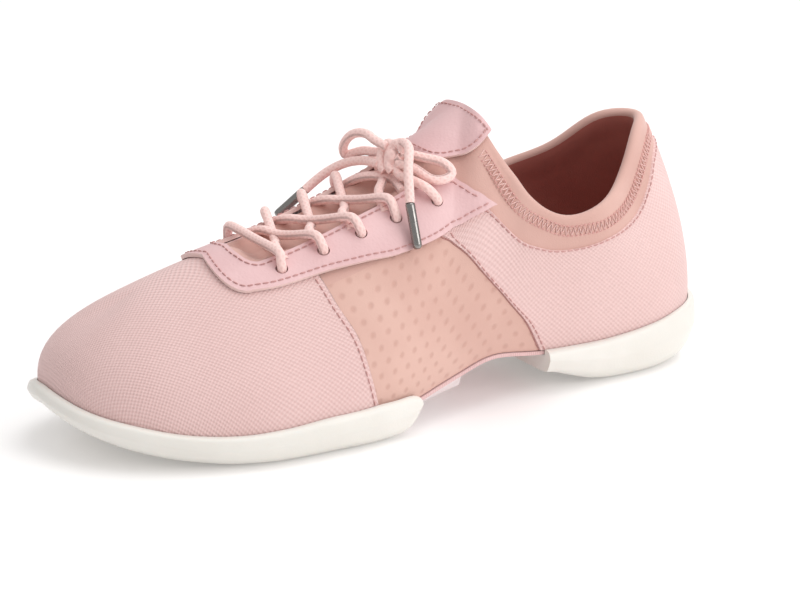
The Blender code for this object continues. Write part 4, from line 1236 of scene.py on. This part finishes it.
def build_soles():
    for node, rows, count in (
        ("sole_forefoot", FOREFOOT_ROWS, FOREFOOT_SECTIONS), ("sole_heel", HEEL_ROWS, HEEL_SECTIONS),
    ):
        stations = np.linspace(rows[0][0], rows[-1][0], count)
        profile = sole_profile(rows)
        piece = section_piece(f"{node}_rubber", stations, profile, ACROSS, RUBBER, angle=50.0)
        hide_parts(node)
    stations = np.linspace(LUG_REAR, LUG_FRONT, LUG_SECTIONS)
    section_piece("arch_lug", stations, lug_profile, ACROSS, LUG_RUBBER_PAINTED_BOUNCE)
    stations = np.linspace(0.0, TOE, SHEET_SECTIONS)
    piece = section_piece("arch_board_cloth", stations, board_profile, BOARD_ACROSS, BOARD_CLOTH)
    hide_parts("arch_board")
    piece = section_piece("insole_sock", stations, insole_profile, ACROSS, LINING)
    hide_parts("insole")


# Leather

TAB_SEAM_IN = 0.0017
EYESTAY_ROWS = 12
LEG_SPLIT = 8.3
PAST_SLOT_BEND = 0.005
TAB_COLUMNS = (40, 30)
TAB_ROWS = 14
TAB_TOP = 0.99
TAB_EASING = 40
EASE = 0.6
HOLE_SIDES = 28


# Stations on each leg of the eyestay, round the slot's end and round the front
REAR_LEG = 40
FRONT_LEG = 48
SLOT_TURN = 24
FRONT_TURN = 48


def eyestay_edges():
    """Stations along the eyestay, and the shares of its lower edge and its throat edge."""
    rear = EYESTAY_LOW[0][0]
    rear_leg = np.linspace(rear, LEG_SPLIT, REAR_LEG)
    front_leg = np.linspace(LEG_SPLIT, SLOT_BEND, FRONT_LEG)[1:]
    bend = np.linspace(0.0, 0.5 * math.pi, SLOT_TURN)[1:]
    slot = SLOT_BEND + (SLOT_FRONT - SLOT_BEND) * np.sin(bend)
    bend = np.linspace(0.0, 0.5 * math.pi, FRONT_TURN)[1:]
    front = FRONT_BEND + (EYESTAY_FRONT - FRONT_BEND) * np.sin(bend)
    front = front[front > SLOT_FRONT + PAST_SLOT_BEND]
    stations = np.concatenate([rear_leg, front_leg, slot, front])
    turn = np.clip((stations - FRONT_BEND) / (EYESTAY_FRONT - FRONT_BEND), 0.0, 1.0)
    round_low = 1.0 - (1.0 - EYESTAY_LOW[-1][1]) * np.sqrt(1.0 - turn**2)
    low = np.where(turn > 0.0, round_low, read(EYESTAY_LOW, stations))
    turn = np.clip((stations - SLOT_BEND) / (SLOT_FRONT - SLOT_BEND), 0.0, 1.0)
    round_high = 1.0 - (1.0 - EYESTAY_THROAT[-1][1]) * np.sqrt(1.0 - turn**2)
    high = np.where(turn > 0.0, round_high, read(EYESTAY_THROAT, stations))
    return stations, low, high


def eased(points, faces, times):
    """The sheet's points drawn towards their neighbours, and those of its edge towards their own."""
    pairs = np.array([(a, b) for face in faces for a, b in zip(face, face[1:] + face[:1])])
    border = np.array(boundary_edges(faces))
    on_border = np.zeros(len(points), bool)
    on_border[border] = True
    pairs = pairs[~on_border[pairs[:, 0]]]
    pairs = np.vstack([pairs, border, border[:, ::-1]])
    counts = np.bincount(pairs[:, 0], minlength=len(points))[:, None]
    for _ in range(times):
        total = np.zeros_like(points)
        np.add.at(total, pairs[:, 0], points[pairs[:, 1]])
        points = (1.0 - EASE) * points + EASE * total / counts
    return points


def border_loop(faces):
    """The sheet's edge points in order."""
    after = dict(boundary_edges(faces))
    loop = [min(after)]
    while after[loop[-1]] != loop[0]:
        loop.append(after[loop[-1]])
    return loop


def border_seam(outer, inner, faces, distance):
    """The line of a seam a distance inside the sheet's edge, with its normals."""
    normals = point_normals(outer, faces)
    normals *= np.sign(((outer - inner) * normals).sum())
    loop = border_loop(faces)
    loop.append(loop[0])
    middle = outer.mean(0)
    lines = [inset(outer[loop], normals[loop], side * distance) for side in (1.0, -1.0)]
    line = min(lines, key=lambda each: np.linalg.norm(each - middle, axis=1).mean())
    return line + normals[loop] * STITCH_LIFT, normals[loop]


def leather_sheet(name, stations, low, high, rows, lift, thickness, sunk=True, easing=0):
    """A sheet of leather between two shares at each station. One that is eased has a seam all round."""
    count = len(stations)
    columns = np.repeat(stations, rows + 1)
    part = np.tile(np.linspace(0.0, 1.0, rows + 1), count)
    share = np.repeat(low, rows + 1) * (1.0 - part) + np.repeat(high, rows + 1) * part
    both = np.concatenate([columns, mirror(columns)])
    every_share = np.concatenate([share, share])
    points = last_point(both, every_share)
    under = skin(both, every_share, np.full(len(both), lift), sunk)
    over = skin(both, every_share, np.full(len(both), lift + thickness), sunk)
    kept, faces, _, index = weld(points, two_sided_faces(count, rows + 1))
    outer = np.zeros((len(kept), 3))
    inner = np.zeros((len(kept), 3))
    for i, j in enumerate(index):
        outer[j] = over[i]
        inner[j] = under[i]
    if easing:
        outer = eased(outer, faces, easing)
        inner = eased(inner, faces, easing)
        seam_line = border_seam(outer, inner, faces, TAB_SEAM_IN)
        stitches(f"{name}_stitches", [seam_line], TAB_STITCH, THREAD)
    points, solid = sheet_solid(kept, faces, outer, inner)
    marks = [0] * (2 * len(faces)) + [1] * (len(solid) - 2 * len(faces))
    return make(name, points, solid, [LEATHER, RAW_EDGE], marks, smooth_angle=50.0)


def build_leather():
    stations, low, high = eyestay_edges()
    piece = leather_sheet("eyestay_leather", stations, low, high, EYESTAY_ROWS, CLEARANCE, EYESTAY)
    for station, share in EYELETS:
        for t in (station, float(mirror(station))):
            punch(piece, t, share)
    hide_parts("eyestay")
    first, last = TAB_LOW[0][0], TAB_LOW[-1][0]
    behind, before = TAB_COLUMNS
    stations = np.concatenate([np.linspace(first, TONGUE, behind), np.linspace(TONGUE, last, before)[1:]])
    low = read(TAB_LOW, stations)
    high = np.where(stations < TONGUE, TAB_TOP, 1.0)
    gap = 2.0 * CLEARANCE
    piece = leather_sheet("tab_leather", stations, low, high, TAB_ROWS, gap, TAB, False, TAB_EASING)
    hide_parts("tongue_tab")


def punch(piece, station, share):
    """One round hole through the leather."""
    middle = np.array(SHOE_MIDDLE)
    low = skin([station], [share], [-DRILL_BELOW])[0] - middle
    high = skin([station], [share], [DRILL_ABOVE])[0] - middle
    mesh = bpy.data.meshes.new("punch")
    bm = bmesh.new()
    bmesh.ops.create_cone(
        bm, cap_ends=True, segments=HOLE_SIDES, radius1=EYELET_HOLE / 2, radius2=EYELET_HOLE / 2,
        depth=float(np.linalg.norm(high - low)),
    )
    bm.to_mesh(mesh)
    bm.free()
    cutter = new_object("punch", mesh)
    cutter.location = Vector((high + low) / 2)
    cutter.rotation_mode = "QUATERNION"
    cutter.rotation_quaternion = Vector(high - low).to_track_quat("Z", "Y")
    cut = piece.modifiers.new("punch", "BOOLEAN")
    cut.operation = "DIFFERENCE"
    cut.solver = "EXACT"
    cut.object = cutter
    bpy.context.view_layer.update()
    depsgraph = bpy.context.evaluated_depsgraph_get()
    done = bpy.data.meshes.new_from_object(piece.evaluated_get(depsgraph))
    piece.modifiers.clear()
    piece.data = done
    bpy.data.objects.remove(cutter, do_unlink=True)


# Laces

UP = np.array((0.0, 0.0, 1.0))
ROUTE_STEP = 0.0008
KNOT_STEP = 0.0006

# Heights of a strand's last points, in its eyelet
DIP_HEIGHTS = (0.0022, 0.0004)

# How much further under the eyestay a strand's hidden ends reach, in stations or shares, and their heights
HIDDEN_START = (0.10, 0.0008)
HIDDEN_END = (0.05, 0.14, 0.0006)
EDGE_PART = 0.2
TOWARD_EDGE = 0.35
TAIL_GAPS = 2.5
TAIL_LAST = (-0.0015, 0.0040, 0.0830)
END_FIRST = (-0.0026, 0.0016, 0.0888)
AGLET_SIDES = 24
AGLET_RINGS = (
    (0.0, 0.80), (0.02, 0.96), (0.06, 1.0), (0.5, 0.98), (0.90, 0.97), (0.95, 0.90), (0.98, 0.72),
    (1.0, 0.42),
)
WRAP_SHIFTS = ((0.0, 0.0, 0.0), (0.0012, -0.0030, -0.0004))
KNOT_RINGS = 13
KNOT_POLE = 0.02
KNOT_HALF_HEIGHT = 0.0036
KNOT_HALF_WIDTH = 0.0027
KNOT_WRAP = (
    (-0.0040, 0.0062, 0.0880), (-0.0036, 0.0058, 0.0894), (-0.0031, 0.0040, 0.0899),
    (-0.0022, 0.0026, 0.0888), (-0.0012, 0.0024, 0.0868), (-0.0004, 0.0030, 0.0846),
    (0.0002, 0.0044, 0.0824), (-0.0002, 0.0060, 0.0810),
)
KNOT_UNDER = (
    (-0.0008, 0.0010, 0.0826), (-0.0012, 0.0030, 0.0838), (-0.0020, 0.0050, 0.0846),
    (-0.0030, 0.0068, 0.0858),
)


def eyelet_dip(station, share, outer):
    """The last points of a strand that goes down its eyelet."""
    t = station if outer else float(mirror(station))
    return [skin([t], [share], [height])[0] for height in DIP_HEIGHTS]


def crossing_route(start, end, over_edge, rise, outer):
    """From under the throat's edge on one side to the eyelet on the other, as the solids run."""
    low = 2.0 * CLEARANCE + 0.5 * LACE
    first = strand_place(start, low)
    reach, height = HIDDEN_START
    hidden = strand_place((start[0], start[1] - reach, start[2]), height)
    if not over_edge:
        last = strand_place(end, low)
        middle = over_ridge(0.5 * (first[0] + last[0]), STRAND_HEIGHT[0] + rise)
        back, reach, height = HIDDEN_END
        beyond = strand_place((end[0] - back, end[1] - reach, end[2]), height)
        return smooth_route([hidden, first, middle, last, beyond], ROUTE_STEP)
    at_edge = end[0] + EDGE_PART * (start[0] - end[0])
    edge_place = (at_edge, float(read(EYESTAY_THROAT, at_edge)) - EDGE_INSET, end[2])
    edge = strand_place(edge_place, OVER_EYESTAY + 1.5 * CLEARANCE)
    middle = over_ridge(0.5 * (first[0] + edge[0]), STRAND_HEIGHT[0 if outer else 1] + rise)
    over = strand_place(end, OVER_EYESTAY)
    toward = over + (edge - over) * TOWARD_EDGE
    route = [hidden, *halved([first, middle, edge]), toward, *eyelet_dip(*end)]
    return smooth_route(route, ROUTE_STEP)


def lace(name, route, step):
    """A stretch of lace along a smooth curve through the route's points."""
    return tube(name, smooth_route(route, step), LACE / 2, LACE_CLOTH)


def build_crossings():
    station, share = EYELETS[0]
    sides = [station, float(mirror(station))]
    ends = [skin([t], [share], [OVER_EYESTAY])[0] for t in sides]
    edge_share = read(EYESTAY_THROAT, station) - EDGE_INSET
    edges = [skin([t], [edge_share], [OVER_EYESTAY + CLEARANCE])[0] for t in sides]
    dips = [eyelet_dip(station, share, outer) for outer in (True, False)]
    toward = [end + (edge - end) * TOWARD_EDGE for end, edge in zip(ends, edges)]
    piece = lace("bar_lace", [*dips[0][::-1], toward[0], *halved(edges), toward[1], *dips[1]], ROUTE_STEP)
    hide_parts("lace_bar")
    for number, (upper_start, lower_start, rise) in enumerate(CROSSINGS, 1):
        last = number == len(CROSSINGS)
        eyelet = EYELETS[number]
        start = (upper_start, float(read(EYESTAY_THROAT, upper_start)) + UNDER_EDGE, False)
        end = (*LAST_STRAND_END, True) if last else (*eyelet, True)
        upper_path = crossing_route(start, end, not last, rise, True)
        start = (lower_start, float(read(EYESTAY_THROAT, lower_start)) + UNDER_EDGE, True)
        lower_path = crossing_route(start, (*eyelet, False), True, rise, False)
        piece = tube(f"cross_lace_{number}", upper_path, LACE / 2, LACE_CLOTH)
        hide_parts(f"lace_cross_{number}")
        tube(f"under_lace_{number}", lower_path, LACE / 2, LACE_CLOTH)


def path_length(path):
    return float(np.linalg.norm(np.diff(np.asarray(path), axis=0), axis=1).sum())


def free_lace(name, route, replaced):
    """A free stretch of lace, in place of the replaced parts."""
    path = smooth_route(route, ROUTE_STEP)
    piece = tube(name, path, LACE / 2, LACE_CLOTH)
    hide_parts(*replaced)
    path = path - np.array(SHOE_MIDDLE)
    tuple(path[0])


def aglet(name, ends, node):
    """A metal tip between two ends, rolled in at both."""
    start, end = np.array(ends)
    path = [start + (end - start) * part for part, _ in AGLET_RINGS]
    radius = [0.5 * AGLET * width for _, width in AGLET_RINGS]
    piece = tube(name, path, radius, DARK_METAL, sides=AGLET_SIDES)
    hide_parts(node)
    return piece


def build_bow():
    inner_tip = aglet("aglet_tip_inner", AGLET_INNER, "aglet_inner")
    outer_tip = aglet("aglet_tip_outer", AGLET_OUTER, "aglet_outer")
    tail = [strand_place((*place, True), OVER_EYESTAY + TAIL_GAPS * CLEARANCE) for place in TAIL_PLACES]
    dip = eyelet_dip(*EYELETS[-1], True)[::-1]
    route = [*dip, *tail[1:], *TAIL_OUTER, TAIL_LAST, *LOOP_INNER[::-1]]
    free_lace("bow_lace_inner", route, ["lace_tail_outer", "lace_loop_inner"])
    free_lace("bow_lace_outer", LOOP_OUTER, ["lace_loop_outer"])
    free_lace("bow_end_inner", END_INNER, ["lace_end_inner"])
    free_lace("bow_end_outer", [END_FIRST, *END_OUTER], ["lace_end_outer"])
    for number, shift in enumerate(WRAP_SHIFTS):
        lace(f"knot_wrap_{number}", np.array(KNOT_WRAP) + np.array(shift), KNOT_STEP)
    lace("knot_under", KNOT_UNDER, KNOT_STEP)
    turn = np.linspace(KNOT_POLE, math.pi - KNOT_POLE, KNOT_RINGS)
    heights = np.array(KNOT) - np.outer(np.cos(turn), UP) * KNOT_HALF_HEIGHT
    core = tube("knot_core", heights, KNOT_HALF_WIDTH * np.sin(turn), LACE_CLOTH)
    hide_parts("lace_knot")


# Stitching

SEAM_POINTS = 60
TOP_SEAM_POINTS = 90
VAMP_SEAM_AHEAD = 0.075
VAMP_SEAM_TOP = 0.68
QUARTER_SEAM_BEHIND = 0.10
QUARTER_SEAM_TOP = 0.57
TOP_SEAM_BELOW = 0.022
TOP_SEAM_END = 7.2
EYESTAY_SEAM_IN = 0.0018
THROAT_SEAM_IN = 0.0016
THROAT_SEAM_REAR = 7.1

# Points left bare at the eyestay's two rear tips
SEAM_ENDS = 4


def seam(stations, shares):
    """The line of a seam on each side of the shoe, with its normals."""
    return [on_skin(places, shares, STITCH_LIFT) for places in (stations, mirror(stations))]


def build_stitches():
    shares = np.linspace(0.0, 1.0, SEAM_POINTS)
    low = shares[shares < VAMP_SEAM_TOP]
    lines = seam(read(VAMP_EDGE, low) + VAMP_SEAM_AHEAD, low)
    stitches("vamp_stitches", lines, SEAM_STITCH, THREAD)
    low = shares[shares < QUARTER_SEAM_TOP]
    lines = seam(read(QUARTER_EDGE, low) - QUARTER_SEAM_BEHIND, low)
    stations = np.linspace(0.0, TOP_SEAM_END, TOP_SEAM_POINTS)
    lines += seam(stations, read(QUARTER_TOP, stations) - TOP_SEAM_BELOW)
    stitches("quarter_stitches", lines, SEAM_STITCH, THREAD)
    stations, low, high = eyestay_edges()
    face = CLEARANCE + EYESTAY + STITCH_LIFT
    round_edge = np.concatenate([stations, mirror(stations)[::-1][1:]])
    points, normals = on_skin(round_edge, np.concatenate([low, low[::-1][1:]]), face)
    kept = slice(SEAM_ENDS, -SEAM_ENDS)
    lines = [(inset(points, normals, -EYESTAY_SEAM_IN)[kept], normals[kept])]
    use = (high < RIDGE_SHARE) & (stations > THROAT_SEAM_REAR)
    throat = np.concatenate([stations[use], mirror(stations[use])[::-1]])
    points, normals = on_skin(throat, np.concatenate([high[use], high[use][::-1]]), face)
    lines.append((inset(points, normals, THROAT_SEAM_IN), normals))
    stitches("eyestay_stitches", lines, SEAM_STITCH, THREAD)


# Sizes of the painted shadow line along the quarter's front edge
SEAM_SHADOW_POINTS = 70
SEAM_SHADOW_TOP = 0.56
SEAM_SHADOW_AHEAD = 0.025
SEAM_SHADOW_RADIUS = 0.00030
THIN_SIDES = 6


def build_seam_shadows():
    """A thin dark tube of painted shadow where the quarter's folded edge meets the panel in front of it."""
    shares = np.linspace(0.0, SEAM_SHADOW_TOP, SEAM_SHADOW_POINTS)
    stations = read(QUARTER_EDGE, shares) + SEAM_SHADOW_AHEAD
    for side, places in (("outer", stations), ("inner", mirror(stations))):
        points, _ = on_skin(places, shares, -CANVAS_STEP)
        tube(f"quarter_seam_shadow_{side}", points, SEAM_SHADOW_RADIUS, SEAM_SHADOW, sides=THIN_SIDES)


BAND = (
    (0.0, 0.895), (0.75, 0.890), (1.28, 0.870), (2.02, 0.850), (3.10, 0.850), (3.75, 0.880), (4.30, 0.880),
    (5.40, 0.840), (6.43, 0.790), (7.12, 0.800),
)
BAND_WIDTH = 0.0030
BAND_PITCH = 0.0019
BAND_POINTS = 240
BAND_EDGES = 0.55
THREAD_RADIUS = 0.00022


def build_band():
    """The zigzag seam around the collar, with a row of stitches along each of its edges."""
    stations = np.linspace(0.0, BAND[-1][0], BAND_POINTS)
    shares = read(BAND, stations)
    places = np.concatenate([mirror(stations)[::-1][:-1], stations])
    shares = np.concatenate([shares[::-1][:-1], shares])
    points, normals = on_skin(places, shares, STITCH_LIFT - CANVAS_STEP)
    side = inset(points, normals, 1.0) - points
    lengths = lengths_along(points)
    turns = int(lengths[-1] / BAND_PITCH)
    wanted = np.linspace(0.0, lengths[-1], 4 * turns + 1)
    line, across, up = [at_lengths(rows, lengths, wanted) for rows in (points, side, normals)]
    phase = np.tile([-0.5, 0.0, 0.5, 0.0], turns + 1)[: len(wanted)]
    zigzag = line + across * (phase * BAND_WIDTH)[:, None] + up * THREAD_RADIUS
    tube("collar_zigzag", zigzag, THREAD_RADIUS, BAND_THREAD, sides=THIN_SIDES)
    rows = [(line + across * part * BAND_WIDTH, up) for part in (-BAND_EDGES, BAND_EDGES)]
    stitches("collar_stitches", rows, BAND_STITCH, BAND_EDGE)


# Camera, floor and light

TARGET = Vector((-0.0022, -0.0014, 0.040))
TURN = math.radians(31.75)
RISE = math.radians(17.91)
ROLL = math.radians(-0.83)
DISTANCE = 0.9435
FOCAL_PIXELS = 2752.3
CENTRE = (388.52, 281.53)
FRAME = (800.0, 600.0)
SENSOR = 36.0
NEAR_LIMIT = 0.05
FLOOR_HALF = 4.0
FLOOR_DROP = 0.0002
FLOOR_GLOW = 0.14
WORLD_LIGHT = 0.63

# Each light's name, place, aim, size, power and colour
LIGHTS = (
    ("above", (-0.25, 0.15, 1.3), (0.0, 0.0, 0.03), 1.2, 8.0, (1.0, 1.0, 1.0)),
    ("right", (-0.75, 1.25, 0.7), (0.0, 0.0, 0.04), 0.9, 9.0, (1.0, 0.985, 0.97)),
    ("behind", (-0.9, -0.7, 0.9), (0.0, 0.0, 0.05), 0.8, 3.0, (1.0, 1.0, 1.0)),
)


def build_camera():
    back = Vector((math.sin(TURN) * math.cos(RISE), math.cos(TURN) * math.cos(RISE), math.sin(RISE)))
    right = Vector((0.0, 0.0, 1.0)).cross(back).normalized()
    up = back.cross(right)
    right, up = (
        right * math.cos(ROLL) - up * math.sin(ROLL),
        right * math.sin(ROLL) + up * math.cos(ROLL),
    )
    data = bpy.data.cameras.new("camera")
    data.sensor_width = SENSOR
    data.lens = SENSOR * FOCAL_PIXELS / FRAME[0]
    data.shift_x = (0.5 * FRAME[0] - CENTRE[0]) / FRAME[0]
    data.shift_y = (CENTRE[1] - 0.5 * FRAME[1]) / FRAME[0]
    data.clip_start = NEAR_LIMIT
    camera = new_object("camera", data)
    turned = Matrix((right, up, back)).transposed().to_4x4()
    turned.translation = TARGET + back * DISTANCE
    camera.matrix_world = turned
    bpy.context.scene.camera = camera


def area_light(name, place, aim, size, power, colour):
    data = bpy.data.lights.new(name, "AREA")
    data.shape = "RECTANGLE"
    data.size = data.size_y = size
    data.energy = power
    data.color = colour
    light = new_object(name, data)
    light.location = place
    light.rotation_mode = "QUATERNION"
    light.rotation_quaternion = (Vector(aim) - Vector(place)).to_track_quat("-Z", "Y")


def build_stage():
    mesh = bpy.data.meshes.new("floor")
    corners = [(x * FLOOR_HALF, y * FLOOR_HALF, 0) for x, y in ((-1, -1), (1, -1), (1, 1), (-1, 1))]
    mesh.from_pydata(corners, [], [(0, 1, 2, 3)])
    shade = Shade("floor_white", (0.93, 0.92, 0.92), roughness=0.22)
    shade.value("Specular IOR Level", 0.35)
    shade.value("Emission Color", (1.0, 0.99, 0.985, 1.0))
    shade.value("Emission Strength", FLOOR_GLOW)
    patches = shade.noise(scale=6.0, detail=2.0)
    shade.roughness(shade.between(patches, 0.2, 0.8, 0.20, 0.26))
    mesh.materials.append(shade.material)
    floor = new_object("floor", mesh)
    floor.location = (0.0, 0.0, -FLOOR_DROP)
    world = bpy.data.worlds.new("studio")
    world.use_nodes = True
    background = world.node_tree.nodes["Background"]
    background.inputs["Color"].default_value = (1.0, 0.985, 0.98, 1.0)
    background.inputs["Strength"].default_value = WORLD_LIGHT
    bpy.context.scene.world = world
    for light in LIGHTS:
        area_light(*light)
    bpy.context.scene.view_settings.view_transform = "Standard"
    bpy.context.scene.view_settings.look = "None"


build_camera()
build_stage()
build_bow()
build_crossings()
build_upper()
build_soles()
build_leather()
build_stitches()
build_band()
build_seam_shadows()
